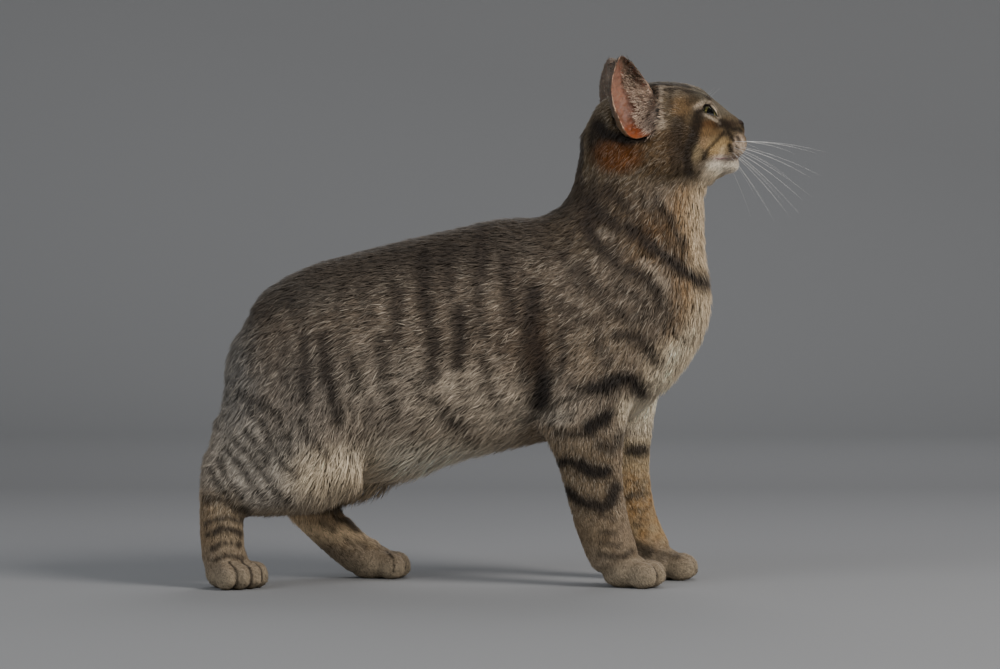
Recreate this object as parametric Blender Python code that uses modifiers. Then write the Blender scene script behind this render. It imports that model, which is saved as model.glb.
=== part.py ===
"""A life-size tailless cat, standing still, as separate closed solids.

The body is shaped as one smooth skin over lofted sections and rounded masses, then parted by thin
straight cuts into head, neck, chest, loin and limbs. Metres, +Z up, nose towards +X, and the cat's
left side towards +Y. The paws stand on Z = 0.
"""

import math

import bmesh
import bpy
import numpy as np
from mathutils import Matrix, Vector
from mathutils.bvhtree import BVHTree

# Driving sizes of the whole animal
GAP = 0.0003                # clearance that touching nodes keep
VOXEL = 0.0014              # grain of the skin before it is thinned out
SPARE = 0.006               # kept past the neck's cut until the mesh has been thinned out
HEAD_TRIANGLES = 2650
BODY_TRIANGLES = 5000
STANCE_FORE = 0.029         # from the middle plane to a fore paw
STANCE_HIND = 0.034         # from the middle plane to a hind paw
HEAD_YAW = math.radians(4)  # the head looks a little to the cat's left
HEAD_ROLL = math.radians(3)  # and is tilted a little to its right
HEAD_TURN = (0.075, 0.300)  # x and z of the place about which the head is turned
MIDDLE_SHIFT_X = -0.0039    # puts the middle of the bounding box on X = 0
MIDDLE_SHIFT_Y = -0.0080    # puts the middle of the bounding box on Y = 0

# Trunk sections from the rump to the throat: (dorsal x, z), (ventral x, z), half width
TRUNK = (
    ((-0.1810, 0.1720), (-0.1810, 0.1150), 0.030),
    ((-0.1750, 0.1865), (-0.1740, 0.0980), 0.040),
    ((-0.1639, 0.2005), (-0.1500, 0.0810), 0.047),
    ((-0.1367, 0.2149), (-0.1230, 0.0720), 0.051),
    ((-0.1095, 0.2228), (-0.0960, 0.0690), 0.053),
    ((-0.0755, 0.2314), (-0.0690, 0.0690), 0.054),
    ((-0.0415, 0.2392), (-0.0400, 0.0790), 0.053),
    ((-0.0075, 0.2468), (-0.0090, 0.0880), 0.050),
    ((0.0170, 0.2480), (0.0260, 0.0950), 0.047),
    ((0.0300, 0.2540), (0.0720, 0.1060), 0.045),
    ((0.0370, 0.2610), (0.1090, 0.1320), 0.044),
    ((0.0415, 0.2700), (0.1320, 0.1660), 0.042),
    ((0.0435, 0.2774), (0.1370, 0.1940), 0.040),
    ((0.0449, 0.2860), (0.1335, 0.2200), 0.037),
    ((0.0469, 0.2950), (0.1318, 0.2450), 0.036),
    ((0.0496, 0.3040), (0.1320, 0.2620), 0.036),
)

# Head sections from the nape to the lips: (dorsal x, z), (ventral x, z), half width
SKULL = (
    ((0.0520, 0.3130), (0.0880, 0.2640), 0.031),
    ((0.0600, 0.3262), (0.1010, 0.2640), 0.036),
    ((0.0755, 0.3352), (0.1136, 0.2670), 0.0395),
    ((0.0945, 0.3402), (0.1230, 0.2700), 0.0395),
    ((0.1115, 0.3402), (0.1285, 0.2725), 0.0370),
    ((0.1230, 0.3384), (0.1326, 0.2748), 0.0325),
    ((0.1312, 0.3352), (0.1367, 0.2765), 0.0270),
    ((0.1367, 0.3300), (0.1408, 0.2785), 0.0210),
    ((0.1435, 0.3243), (0.1462, 0.2810), 0.0150),
    ((0.1510, 0.3190), (0.1510, 0.2850), 0.0118),
    ((0.1550, 0.3155), (0.1535, 0.2900), 0.0085),
)

# Each limb station is (x, y, z), fore-and-aft half width, half width across. Y is outwards from the
# middle plane, and the functions below put it on the cat's own side.
FORE_NEAR = (
    ((0.0600, 0.0180, 0.2050), 0.036, 0.018),
    ((0.0520, 0.0260, 0.1700), 0.041, 0.021),
    ((0.0480, 0.0300, 0.1350), 0.037, 0.021),
    ((0.0490, 0.0305, 0.1080), 0.0300, 0.0190),
    ((0.0535, 0.0300, 0.0820), 0.0225, 0.0168),
    ((0.0570, 0.0295, 0.0600), 0.0198, 0.0150),
    ((0.0625, 0.0290, 0.0380), 0.0182, 0.0146),
    ((0.0690, 0.0290, 0.0200), 0.0170, 0.0152),
)
FORE_FAR = (
    ((0.0740, 0.0180, 0.2050), 0.034, 0.018),
    ((0.0730, 0.0260, 0.1700), 0.037, 0.021),
    ((0.0740, 0.0300, 0.1350), 0.031, 0.021),
    ((0.0750, 0.0305, 0.1080), 0.0245, 0.0185),
    ((0.0760, 0.0300, 0.0820), 0.0208, 0.0162),
    ((0.0790, 0.0295, 0.0600), 0.0188, 0.0148),
    ((0.0850, 0.0290, 0.0380), 0.0174, 0.0144),
    ((0.0940, 0.0290, 0.0200), 0.0165, 0.0152),
)
THIGH_NEAR = (
    ((-0.1380, 0.0140, 0.1850), 0.036, 0.018),
    ((-0.1410, 0.0260, 0.1550), 0.046, 0.023),
    ((-0.1440, 0.0320, 0.1260), 0.050, 0.025),
    ((-0.1500, 0.0340, 0.0980), 0.052, 0.024),
    ((-0.1560, 0.0340, 0.0760), 0.050, 0.020),
)
SHANK_NEAR = (
    ((-0.1130, 0.0340, 0.0860), 0.024, 0.019),
    ((-0.1350, 0.0345, 0.0770), 0.026, 0.020),
    ((-0.1650, 0.0345, 0.0720), 0.025, 0.0185),
    ((-0.1880, 0.0345, 0.0690), 0.020, 0.0155),
)
METATARSUS_NEAR = (
    ((-0.1900, 0.0340, 0.0860), 0.0180, 0.0150),
    ((-0.1930, 0.0340, 0.0680), 0.0165, 0.0142),
    ((-0.1942, 0.0345, 0.0450), 0.0152, 0.0138),
    ((-0.1930, 0.0350, 0.0250), 0.0150, 0.0145),
    ((-0.1900, 0.0355, 0.0140), 0.0150, 0.0150),
)
THIGH_FAR = (
    ((-0.1280, 0.0140, 0.1850), 0.036, 0.018),
    ((-0.1240, 0.0250, 0.1550), 0.047, 0.024),
    ((-0.1180, 0.0310, 0.1260), 0.048, 0.027),
    ((-0.1090, 0.0345, 0.0980), 0.041, 0.0245),
    ((-0.1020, 0.0365, 0.0820), 0.029, 0.0210),
)
SHANK_FAR = (
    ((-0.0860, 0.0380, 0.0830), 0.020, 0.018),
    ((-0.1000, 0.0385, 0.0760), 0.021, 0.018),
    ((-0.1250, 0.0390, 0.0690), 0.020, 0.0165),
    ((-0.1480, 0.0390, 0.0620), 0.0165, 0.0145),
)
METATARSUS_FAR = (
    ((-0.1520, 0.0390, 0.0650), 0.0130, 0.0135),
    ((-0.1420, 0.0390, 0.0520), 0.0150, 0.0138),
    ((-0.1260, 0.0395, 0.0350), 0.0150, 0.0138),
    ((-0.1090, 0.0400, 0.0190), 0.0140, 0.0145),
    ((-0.0990, 0.0400, 0.0150), 0.0130, 0.0150),
)

HAUNCH_LENGTH = 0.160       # reach of the cut between the haunches, back from the loin

# Paws: palm centre (x, y, z) with y outwards, and the way the toes point, outwards from +X
FORE_PAW_NEAR = ((0.0770, STANCE_FORE, 0.0110), math.radians(10))
FORE_PAW_FAR = ((0.1020, STANCE_FORE, 0.0110), math.radians(6))
HIND_PAW_NEAR = ((-0.1895, STANCE_HIND + 0.001, 0.0110), math.radians(46))
HIND_PAW_FAR = ((-0.0960, STANCE_HIND + 0.007, 0.0110), math.radians(4))
PALM = (0.0165, 0.0155, 0.0125)
TOE = (0.0105, 0.0058, 0.0094)
TOE_REACH = (0.0125, 0.0165, 0.0165, 0.0125)
TOE_SIDE = (-0.0132, -0.0046, 0.0046, 0.0132)
TOE_SPLAY = math.radians(13)

# Rounded masses of the head, each centre (x, y, z) and radii, mirrored where y isn't 0
HEAD_MASSES = (
    ((0.1000, 0.0235, 0.2890), (0.0260, 0.0180, 0.0215)),   # jowl
    ((0.1180, 0.0205, 0.3005), (0.0175, 0.0130, 0.0145)),   # cheekbone
    ((0.1235, 0.0140, 0.3245), (0.0130, 0.0120, 0.0100)),   # brow
    ((0.1490, 0.0078, 0.2990), (0.0112, 0.0108, 0.0106)),   # whisker pad
    ((0.1470, 0.0000, 0.2858), (0.0092, 0.0098, 0.0070)),   # chin
    ((0.0880, 0.0215, 0.3165), (0.0225, 0.0145, 0.0150)),   # root of the ear
)
BRIDGE_TOP, BRIDGE_TIP = (0.1330, 0.0, 0.3255), (0.1520, 0.0, 0.3115)
BRIDGE_RADII = (0.0062, 0.0052)

# Eyes
EYE_CENTRE = (0.1284, 0.0172, 0.3153)
EYE_RADIUS = 0.0102
LID_THICKNESS = 0.0016
GAZE_OUT = math.radians(37)
GAZE_UP = math.radians(25)
EYE_SLANT = math.radians(19)
OPENING_LENGTH = 0.0200
UPPER_OPENING = 0.0082      # from the line between the corners up to the upper lid
LOWER_OPENING = 0.0030

# Ears, in the frame of the head before it is turned. The middle line of an ear passes through these
# three places: t along the ear, then (x, y, z).
EAR_LINE = ((-0.5, (0.0895, 0.0385, 0.3045)), (0.0, (0.0840, 0.0290, 0.3215)), (1.0, (0.0705, 0.0360, 0.3570)))
EAR_FACES = (0.62, 0.77, 0.10)
EAR_HALF_WIDTH = 0.0182
EAR_DEPTH = 0.0120
EAR_WALL = 0.0020
EAR_RIM = 0.0012
EAR_ROOM = 0.0007           # clearance round an ear in its pocket
POCKET_ENDS = (-0.535, 0.75)  # where along the ear its pocket in the head begins and ends
EAR_HOLLOW = 0.0100         # how far the hollow of the head reaches out from the middle of an ear
EAR_TUCK = 0.0060           # how far the lower part of the rear rim lies in towards the head

# Nose and mouth
NOSE_CENTRE = (0.1537, 0.0, 0.3118)
NOSE_RADII = (0.0050, 0.0064, 0.0041)
NOSTRIL = (0.1580, 0.0040, 0.3108)
NOSTRIL_RADII = (0.0034, 0.0016, 0.0016)
MOUTH_Z = 0.2884
MOUTH_CENTRE_X = 0.1380
MOUTH_GROOVE = 0.0007

# Whiskers
WHISKER_ROWS = (0.3045, 0.3010, 0.2975, 0.2940)
WHISKER_COLUMNS = (0.1530, 0.1500, 0.1468)
WHISKER_RADIUS = 0.0003
WHISKER_LENGTH = 0.069


def clear_scene():
    """Removes what the startup file holds."""
    for obj in list(bpy.data.objects):
        bpy.data.objects.remove(obj, do_unlink=True)


def new_collection(name):
    """A collection linked to the scene."""
    collection = bpy.data.collections.new(name)
    bpy.context.scene.collection.children.link(collection)
    return collection


def add_object(name, bm, collection):
    """Makes an object from a bmesh, with its faces pointing out."""
    bmesh.ops.recalc_face_normals(bm, faces=bm.faces)
    mesh = bpy.data.meshes.new(name)
    bm.to_mesh(mesh)
    bm.free()
    obj = bpy.data.objects.new(name, mesh)
    collection.objects.link(obj)
    return obj


def evaluated_copy(obj, name, collection):
    """A plain mesh object holding what obj's modifiers make. obj is removed."""
    bpy.context.view_layer.update()
    graph = bpy.context.evaluated_depsgraph_get()
    mesh = bpy.data.meshes.new_from_object(obj.evaluated_get(graph))
    mesh.transform(obj.matrix_world)
    bm = bmesh.new()
    bm.from_mesh(mesh)
    bmesh.ops.remove_doubles(bm, verts=bm.verts, dist=1e-7)
    bmesh.ops.triangulate(bm, faces=bm.faces)
    bm.to_mesh(mesh)
    bm.free()
    bpy.data.objects.remove(obj, do_unlink=True)
    made = bpy.data.objects.new(name, mesh)
    collection.objects.link(made)
    return made


def spline(values, t):
    """A smooth curve through a row of values, read at t from 0 to 1."""
    place = t * (len(values) - 1)
    i = min(int(place), len(values) - 2)
    u = place - i
    before, a, b, after = (
        values[max(i - 1, 0)],
        values[i],
        values[i + 1],
        values[min(i + 2, len(values) - 1)],
    )
    return 0.5 * (
        2 * a
        + (b - before) * u
        + (2 * before - 5 * a + 4 * b - after) * u**2
        + (3 * a - 3 * b + after - before) * u**3
    )


def loft(rings, round_ends=0.6):
    """A closed tube through rings of (centre, half axis, half axis), with rounded ends."""
    sides, steps = 32, 6 * (len(rings) - 1)
    centres, first, second = (np.array([tuple(ring[k]) for ring in rings]) for k in range(3))
    path = [tuple(spline(row, i / steps) for row in (centres, first, second)) for i in range(steps + 1)]
    capped = list(path)
    for end, inner in ((0, 1), (-1, -2)):
        centre, a, b = path[end]
        outwards = centre - path[inner][0]
        outwards = outwards / np.linalg.norm(outwards)
        reach = round_ends * min(np.linalg.norm(a), np.linalg.norm(b))
        for angle in (30, 55, 78):
            share = math.radians(angle)
            ring = (centre + outwards * reach * math.sin(share), a * math.cos(share), b * math.cos(share))
            capped.insert(0 if end == 0 else len(capped), ring)
    bm = bmesh.new()
    loops = []
    for centre, a, b in capped:
        turn = (2 * math.pi * k / sides for k in range(sides))
        loops.append([bm.verts.new(centre + a * math.cos(t) + b * math.sin(t)) for t in turn])
    for low, high in zip(loops, loops[1:]):
        for k in range(sides):
            bm.faces.new((low[k], low[(k + 1) % sides], high[(k + 1) % sides], high[k]))
    bm.faces.new(loops[0])
    bm.faces.new(loops[-1])
    return bm


def side_rings(sections):
    """Rings from (dorsal x, z), (ventral x, z), half width in the side view."""
    rings = []
    for (dx, dz), (vx, vz), half_width in sections:
        dorsal, ventral = Vector((dx, 0, dz)), Vector((vx, 0, vz))
        rings.append(((dorsal + ventral) / 2, (dorsal - ventral) / 2, Vector((0, half_width, 0))))
    return rings


def limb_rings(stations, side):
    """Rings square to the limb's own line."""
    centres = [Vector((x, y * side, z)) for (x, y, z), _, _ in stations]
    rings = []
    for i, (_, fore_aft, across) in enumerate(stations):
        along = (centres[min(i + 1, len(centres) - 1)] - centres[max(i - 1, 0)]).normalized()
        level = along.cross(Vector((0, 1, 0))).normalized()
        rings.append((centres[i], level * fore_aft, level.cross(along).normalized() * across))
    return rings


def ellipsoid(centre, radii, turn=None, around=28):
    """A rounded mass. Around says how many sides it has."""
    bm = bmesh.new()
    place = Matrix.Translation(centre) @ (turn or Matrix()) @ Matrix.Diagonal((*radii, 1))
    rows = around * 5 // 8
    bmesh.ops.create_uvsphere(bm, u_segments=around, v_segments=rows, radius=1, matrix=place)
    return bm


def head_turn():
    """The turn and the tilt of the head on top of the neck."""
    pivot = Vector((HEAD_TURN[0], 0, HEAD_TURN[1]))
    turn = Matrix.Rotation(HEAD_YAW, 4, "Z") @ Matrix.Rotation(HEAD_ROLL, 4, "X")
    return Matrix.Translation(pivot) @ turn @ Matrix.Translation(-pivot)


def add_paw(paw, side, collection):
    """Palm and four toes."""
    (x, y, z), outwards = paw
    heading = Matrix.Translation((x, y * side, z)) @ Matrix.Rotation(outwards * side, 4, "Z")
    add_object("palm", ellipsoid((0, 0, 0), PALM), collection).data.transform(heading)
    for reach, across in zip(TOE_REACH, TOE_SIDE):
        splay = Matrix.Rotation(TOE_SPLAY * across / TOE_SIDE[-1], 4, "Z")
        toe = ellipsoid((reach, across, TOE[2] - z - 0.0004), TOE, splay)
        add_object("toe", toe, collection).data.transform(heading)


def add_leg(stations_lists, side, collection):
    """The lofted lengths of one leg."""
    for stations in stations_lists:
        add_object("limb", loft(limb_rings(stations, side)), collection)


def eye_frame(side):
    """The eye's place: gaze along local X, the long way of the opening along local Y, up along Z."""
    x, y, z = EYE_CENTRE
    gaze = Matrix.Rotation(GAZE_OUT * side, 4, "Z") @ Matrix.Rotation(-GAZE_UP, 4, "Y")
    slant = Matrix.Rotation(EYE_SLANT * side, 4, "X")
    return head_turn() @ Matrix.Translation((x, y * side, z)) @ gaze @ slant


def build_masses(collection):
    """Everything that the skin is drawn over."""
    turn = head_turn()
    add_object("trunk", loft(side_rings(TRUNK)), collection)
    add_object("skull", loft(side_rings(SKULL)), collection).data.transform(turn)
    for (x, y, z), radii in HEAD_MASSES:
        for side in ((1, -1) if y else (1,)):
            mass = ellipsoid((x, y * side, z), radii)
            add_object("mass", mass, collection).data.transform(turn)
    bridge = [(Vector(BRIDGE_TOP), BRIDGE_RADII[0]), (Vector(BRIDGE_TIP), BRIDGE_RADII[1])]
    rings = [(place, Vector((0.6, 0, 0.8)) * r, Vector((0, r, 0))) for place, r in bridge]
    add_object("bridge", loft(rings, 1.0), collection).data.transform(turn)
    for side in (1, -1):
        mound = ellipsoid((0, 0, 0), (EYE_RADIUS + LID_THICKNESS,) * 3)
        add_object("eye_mound", mound, collection).data.transform(eye_frame(side))
    add_leg((FORE_NEAR,), -1, collection)
    add_leg((FORE_FAR,), 1, collection)
    add_leg((THIGH_NEAR, SHANK_NEAR, METATARSUS_NEAR), -1, collection)
    add_leg((THIGH_FAR, SHANK_FAR, METATARSUS_FAR), 1, collection)
    add_paw(FORE_PAW_NEAR, -1, collection)
    add_paw(FORE_PAW_FAR, 1, collection)
    add_paw(HIND_PAW_NEAR, -1, collection)
    add_paw(HIND_PAW_FAR, 1, collection)


def join_all(collection, name):
    """One object holding every mesh of a collection, still overlapping."""
    bm = bmesh.new()
    for obj in list(collection.objects):
        bm.from_mesh(obj.data)
        bpy.data.objects.remove(obj, do_unlink=True)
    mesh = bpy.data.meshes.new(name)
    bm.to_mesh(mesh)
    bm.free()
    obj = bpy.data.objects.new(name, mesh)
    collection.objects.link(obj)
    return obj


def smooth_by_place(obj, weight_of, iterations):
    """Smooths where weight_of(place) is over 0."""
    group = obj.vertex_groups.new(name="soft")
    for vertex in obj.data.vertices:
        weight = weight_of(vertex.co)
        if weight > 0:
            group.add([vertex.index], weight, "REPLACE")
    smooth = obj.modifiers.new("soften", "SMOOTH")
    smooth.factor = 0.5
    smooth.iterations = iterations
    smooth.vertex_group = group.name


def body_weight(place):
    """1 on the trunk and thighs, 0 on the head and paws, and between them a slope."""
    above_paws = min(max((place.z - 0.035) / 0.04, 0), 1)
    below_head = min(max((0.285 - place.z) / 0.03, 0), 1)
    return above_paws * below_head


def trunk_weight(place):
    """1 on the barrel, shoulders and thighs, 0 on the lower legs and on the head."""
    above_legs = min(max((place.z - 0.075) / 0.05, 0), 1)
    below_head = min(max((0.255 - place.z) / 0.04, 0), 1)
    return above_legs * below_head


def head_weight(place):
    """1 on the cranium and cheeks, 0 on the muzzle and on the trunk."""
    above_neck = min(max((place.z - 0.255) / 0.03, 0), 1)
    behind_muzzle = min(max((0.142 - place.x) / 0.020, 0), 1)
    return above_neck * behind_muzzle


def make_skin(collection):
    """The whole flesh as one smooth closed skin."""
    build_masses(collection)
    whole = join_all(collection, "whole")
    remesh = whole.modifiers.new("skin", "REMESH")
    remesh.mode = "VOXEL"
    remesh.voxel_size = VOXEL
    whole = evaluated_copy(whole, "whole", collection)
    smooth_by_place(whole, body_weight, 60)
    whole = evaluated_copy(whole, "whole", collection)
    smooth_by_place(whole, trunk_weight, 110)
    whole = evaluated_copy(whole, "whole", collection)
    smooth_by_place(whole, head_weight, 34)
    whole = evaluated_copy(whole, "whole", collection)
    smooth_by_place(whole, lambda place: 1, 3)
    return evaluated_copy(whole, "whole", collection)


def keep_side(obj, point, normal, name, collection):
    """A closed copy of obj on the side of a plane that the normal points to."""
    bm = bmesh.new()
    bm.from_mesh(obj.data)
    faces = bm.verts[:] + bm.edges[:] + bm.faces[:]
    cut = bmesh.ops.bisect_plane(
        bm, geom=faces, dist=1e-7, plane_co=point, plane_no=normal, clear_inner=True
    )
    rim = [edge for edge in cut["geom_cut"] if isinstance(edge, bmesh.types.BMEdge)]
    bmesh.ops.edgeloop_fill(bm, edges=rim)
    bmesh.ops.triangulate(bm, faces=bm.faces)
    return add_object(name, bm, collection)


def thin_out(obj, triangles, name, collection):
    """obj with about that many triangles."""
    decimate = obj.modifiers.new("thin_out", "DECIMATE")
    decimate.ratio = triangles / len(obj.data.polygons)
    return evaluated_copy(obj, name, collection)


def plane_cutter(centre, normal, along, half_long, half_wide, collection, thickness=GAP):
    """A thin slab. Along is the long way in its plane."""
    normal, along = Vector(normal).normalized(), Vector(along)
    along = (along - normal * along.dot(normal)).normalized()
    across = normal.cross(along)
    frame = Matrix((along, across, normal)).transposed().to_4x4()
    bm = bmesh.new()
    size = Matrix.Diagonal((2 * half_long, 2 * half_wide, thickness, 1))
    bmesh.ops.create_cube(bm, size=1, matrix=Matrix.Translation(centre) @ frame @ size)
    return add_object("slab", bm, collection)


def line_cutter(start, end, half_wide, collection, y=0.0):
    """A slab seen edge-on in the side view, from start to end (x, z)."""
    a, b = Vector((start[0], y, start[1])), Vector((end[0], y, end[1]))
    along = b - a
    normal = along.cross(Vector((0, 1, 0)))
    return plane_cutter((a + b) / 2, normal, along, along.length / 2, half_wide, collection)


def boolean(obj, cutters, operation, name, collection):
    """obj with one Boolean against everything in the cutters' collection, applied."""
    modifier = obj.modifiers.new("cut", "BOOLEAN")
    modifier.operation = operation
    modifier.operand_type = "COLLECTION"
    modifier.collection = cutters
    modifier.solver = "MANIFOLD"
    made = evaluated_copy(obj, name, collection)
    for cutter in list(cutters.objects):
        bpy.data.objects.remove(cutter, do_unlink=True)
    bpy.data.collections.remove(cutters)
    return made


def loose_parts(obj):
    """The separate closed surfaces of a mesh, as bmeshes with their centres, largest first."""
    bm = bmesh.new()
    bm.from_mesh(obj.data)
    bm.verts.ensure_lookup_table()
    seen, parts = set(), []
    for vertex in bm.verts:
        if vertex.index in seen:
            continue
        stack, group = [vertex], []
        seen.add(vertex.index)
        while stack:
            v = stack.pop()
            group.append(v.index)
            for edge in v.link_edges:
                other = edge.other_vert(v)
                if other.index not in seen:
                    seen.add(other.index)
                    stack.append(other)
        parts.append(set(group))
    made = []
    for group in parts:
        piece = bm.copy()
        piece.verts.ensure_lookup_table()
        gone = [v for v in piece.verts if v.index not in group]
        bmesh.ops.delete(piece, geom=gone, context="VERTS")
        centre = sum((v.co for v in piece.verts), Vector()) / len(piece.verts)
        made.append((piece.calc_volume(signed=False), centre, piece))
    bm.free()
    return sorted(made, key=lambda row: -row[0])


def name_parts(obj, seeds, collection):
    """Splits obj into nodes, each the largest loose part nearest to a named seed point."""
    parts = loose_parts(obj)
    bpy.data.objects.remove(obj, do_unlink=True)
    made = {}
    for volume, centre, piece in parts:
        name = min(seeds, key=lambda n: (Vector(seeds[n]) - centre).length)
        if name in made or volume < 1e-9:
            piece.free()
            continue
        made[name] = add_object(name, piece, collection)
    return made


def ear_line(t):
    """The middle line of the ear, as a smooth curve through the three places of EAR_LINE."""
    total = Vector()
    for i, (knot, place) in enumerate(EAR_LINE):
        others = [EAR_LINE[j][0] for j in range(3) if j != i]
        share = math.prod((t - other) / (knot - other) for other in others)
        total += Vector(place) * share
    return total


def ear_axes():
    """The way the cup of the ear faces, and the way across it."""
    axis = (ear_line(1) - ear_line(0)).normalized()
    faces = Vector(EAR_FACES)
    faces = (faces - axis * faces.dot(axis)).normalized()
    return faces, axis.cross(faces)


def ear_size(t):
    """Half width and depth of the cup inside, and how far its middle leans back, at t along the ear."""
    lowest = EAR_LINE[0][0]
    up, down = max(t, 0.0), min(t / lowest, 1.0) if t < 0 else 0.0
    closing = (1 - down**2.5) ** 0.5
    width = EAR_HALF_WIDTH * (1 - up**2.2) ** 0.8 * closing + 0.0008
    depth = EAR_DEPTH * (1 - up) ** 0.7 * closing + 0.0006
    return width, depth, -0.0030 * math.sin(math.pi * up)


def ear_place(t, s, width, back):
    """A place at the angle s round the cup, from the front rim at -90 degrees to the rear rim at 90."""
    faces, across = ear_axes()
    tuck = min(max((0.4 - t) / 0.6, 0), 1)
    place = ear_line(t) + faces * back + across * width * math.sin(s)
    place.y -= EAR_TUCK * tuck * max(math.sin(s), 0)
    return place


def bridge_rows(rows, side):
    """A closed solid through rows of places, mirrored for the other side."""
    bm = bmesh.new()
    loops = [[bm.verts.new((p.x, p.y * side, p.z)) for p in row] for row in rows]
    for low, high in zip(loops, loops[1:]):
        for k in range(len(low)):
            after = (k + 1) % len(low)
            bm.faces.new((low[k], low[after], high[after], high[k]))
    bm.faces.new(loops[0])
    bm.faces.new(loops[-1])
    bmesh.ops.triangulate(bm, faces=bm.faces)
    bmesh.ops.recalc_face_normals(bm, faces=bm.faces)
    return bm


def ear_shell(side):
    """The pinna: a cup open towards EAR_FACES, closed below and drawn to a rounded tip."""
    count, columns, lowest = 12, 7, EAR_LINE[0][0]
    rows = []
    for i in range(count + 1):
        t = lowest + (1 - lowest) * i / count
        width, depth, lean = ear_size(t)
        up = max(t, 0.0)
        wall, rim = EAR_WALL * (1 - 0.4 * up), EAR_RIM * (1 - 0.3 * up)
        row = []
        for more_wide, more_deep, order in ((rim, wall, 1), (0, 0, -1)):
            for k in range(columns + 1)[::order]:
                s = math.pi * (k / columns - 0.5)
                row.append(ear_place(t, s, width + more_wide, lean - (depth + more_deep) * math.cos(s)))
        rows.append(row)
    return bridge_rows(rows, side)


def ear_pocket(side):
    """The room that an ear takes in the head, with the hollow in front of its cup."""
    count, columns = 7, 12
    lowest, highest = POCKET_ENDS
    rows = []
    for i in range(count + 1):
        t = lowest + (highest - lowest) * i / count
        width, depth, lean = ear_size(t)
        row = []
        for k in range(columns):
            s = 2 * math.pi * k / columns
            inwards, outwards = depth + EAR_WALL + EAR_ROOM, EAR_HOLLOW * width / EAR_HALF_WIDTH
            reach = inwards if math.cos(s) > 0 else outwards
            row.append(ear_place(t, s, width + EAR_RIM + EAR_ROOM, lean - reach * math.cos(s)))
        rows.append(row)
    return bridge_rows(rows, side)


def hollow_head(head, work):
    """The head with a pocket cut into each side for the ears."""
    pockets = new_collection("pockets")
    for side in (1, -1):
        add_object("pocket", ear_pocket(side), pockets).data.transform(head_turn())
    return boolean(head, pockets, "DIFFERENCE", "head_whole", work)


def ear_nodes(head, work, nodes):
    """Both ears, each cut to sit in its pocket just clear of the head."""
    for side, name in ((1, "ear_left"), (-1, "ear_right")):
        shell = add_object("shell", ear_shell(side), work)
        shell.data.transform(head_turn())
        under = new_collection("under_the_ear")
        fuller = bpy.data.objects.new("fuller_head", head.data.copy())
        under.objects.link(fuller)
        push = fuller.modifiers.new("push", "DISPLACE")
        push.mid_level = 0
        push.strength = GAP
        evaluated_copy(fuller, "fuller_head", under)
        shell = boolean(shell, under, "DIFFERENCE", "ear_cut", work)
        name_parts(shell, {name: EAR_LINE[-1][1]}, nodes)


def lens_cutter(side, collection):
    """The almond opening between the lids, as a lens-shaped prism along the gaze."""
    half, steps = OPENING_LENGTH / 2, 12
    angles = [math.pi * i / steps for i in range(steps + 1)]
    upper = [(half * math.cos(a), UPPER_OPENING * math.sin(a) ** 0.9) for a in angles]
    lower = [(y, -z * LOWER_OPENING / UPPER_OPENING) for y, z in reversed(upper[1:-1])]
    bm = bmesh.new()
    near = [bm.verts.new((0.3 * EYE_RADIUS, y, z)) for y, z in upper + lower]
    face = bm.faces.new(near)
    pushed = bmesh.ops.extrude_face_region(bm, geom=[face])["geom"]
    moved = [v for v in pushed if isinstance(v, bmesh.types.BMVert)]
    bmesh.ops.translate(bm, vec=(2 * EYE_RADIUS, 0, 0), verts=moved)
    add_object("lens", bm, collection).data.transform(eye_frame(side))


def mouth_path(head):
    """Points on the head's surface at the height of the mouth, round the front of the muzzle."""
    bm = bmesh.new()
    bm.from_mesh(head.data)
    tree = BVHTree.FromBMesh(bm)
    bm.free()
    turn = head_turn()
    middle = turn @ Vector((MOUTH_CENTRE_X, 0, MOUTH_Z))
    path = []
    for degrees in range(-100, 101, 10):
        angle = math.radians(degrees) + HEAD_YAW
        drop = 0.0016 * (abs(degrees) / 100) ** 2
        start = middle + Vector((math.cos(angle), math.sin(angle), 0)) * 0.06
        start.z -= drop
        hit, _, _, _ = tree.ray_cast(start, (middle - Vector((0, 0, drop)) - start).normalized())
        path.append(hit)
    return path


def tube(points, radius, name, collection):
    """A round bar along points, as a closed mesh."""
    curve = bpy.data.curves.new(name, "CURVE")
    curve.dimensions = "3D"
    curve.bevel_depth = radius
    curve.bevel_resolution = 2
    curve.use_fill_caps = True
    line = curve.splines.new("POLY")
    line.points.add(len(points) - 1)
    for point, place in zip(line.points, points):
        point.co = (*place, 1)
    obj = bpy.data.objects.new(name, curve)
    collection.objects.link(obj)
    return evaluated_copy(obj, name, collection)


def carve_face(head, work):
    """Opens the lids and sockets, and draws the line of the mouth."""
    path = mouth_path(head)
    cutters = new_collection("face_cutters")
    for side in (1, -1):
        lens_cutter(side, cutters)
    tube(path, MOUTH_GROOVE, "mouth", cutters)
    head = boolean(head, cutters, "DIFFERENCE", "head_whole", work)
    sockets = new_collection("sockets")
    for side in (1, -1):
        socket = ellipsoid((0, 0, 0), (EYE_RADIUS + GAP,) * 3, around=18)
        add_object("socket", socket, sockets).data.transform(eye_frame(side))
    add_object("nose_pocket", nose_shape(GAP), sockets).data.transform(head_turn())
    return boolean(head, sockets, "DIFFERENCE", "head_whole", work)


def nose_shape(more):
    """The nose leather, wide above and narrow towards the lip. More is added all round."""
    bm = ellipsoid((0, 0, 0), NOSE_RADII, around=18)
    for vertex in bm.verts:
        height = (vertex.co.z / NOSE_RADII[2] + 1) / 2
        vertex.co.y *= 0.50 + 0.58 * height
        vertex.co.x += 0.0016 * (height - 0.5)
    fuller = [1 + more / radius for radius in NOSE_RADII]
    bmesh.ops.scale(bm, vec=fuller, verts=bm.verts)
    bmesh.ops.translate(bm, vec=NOSE_CENTRE, verts=bm.verts)
    return bm


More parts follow.
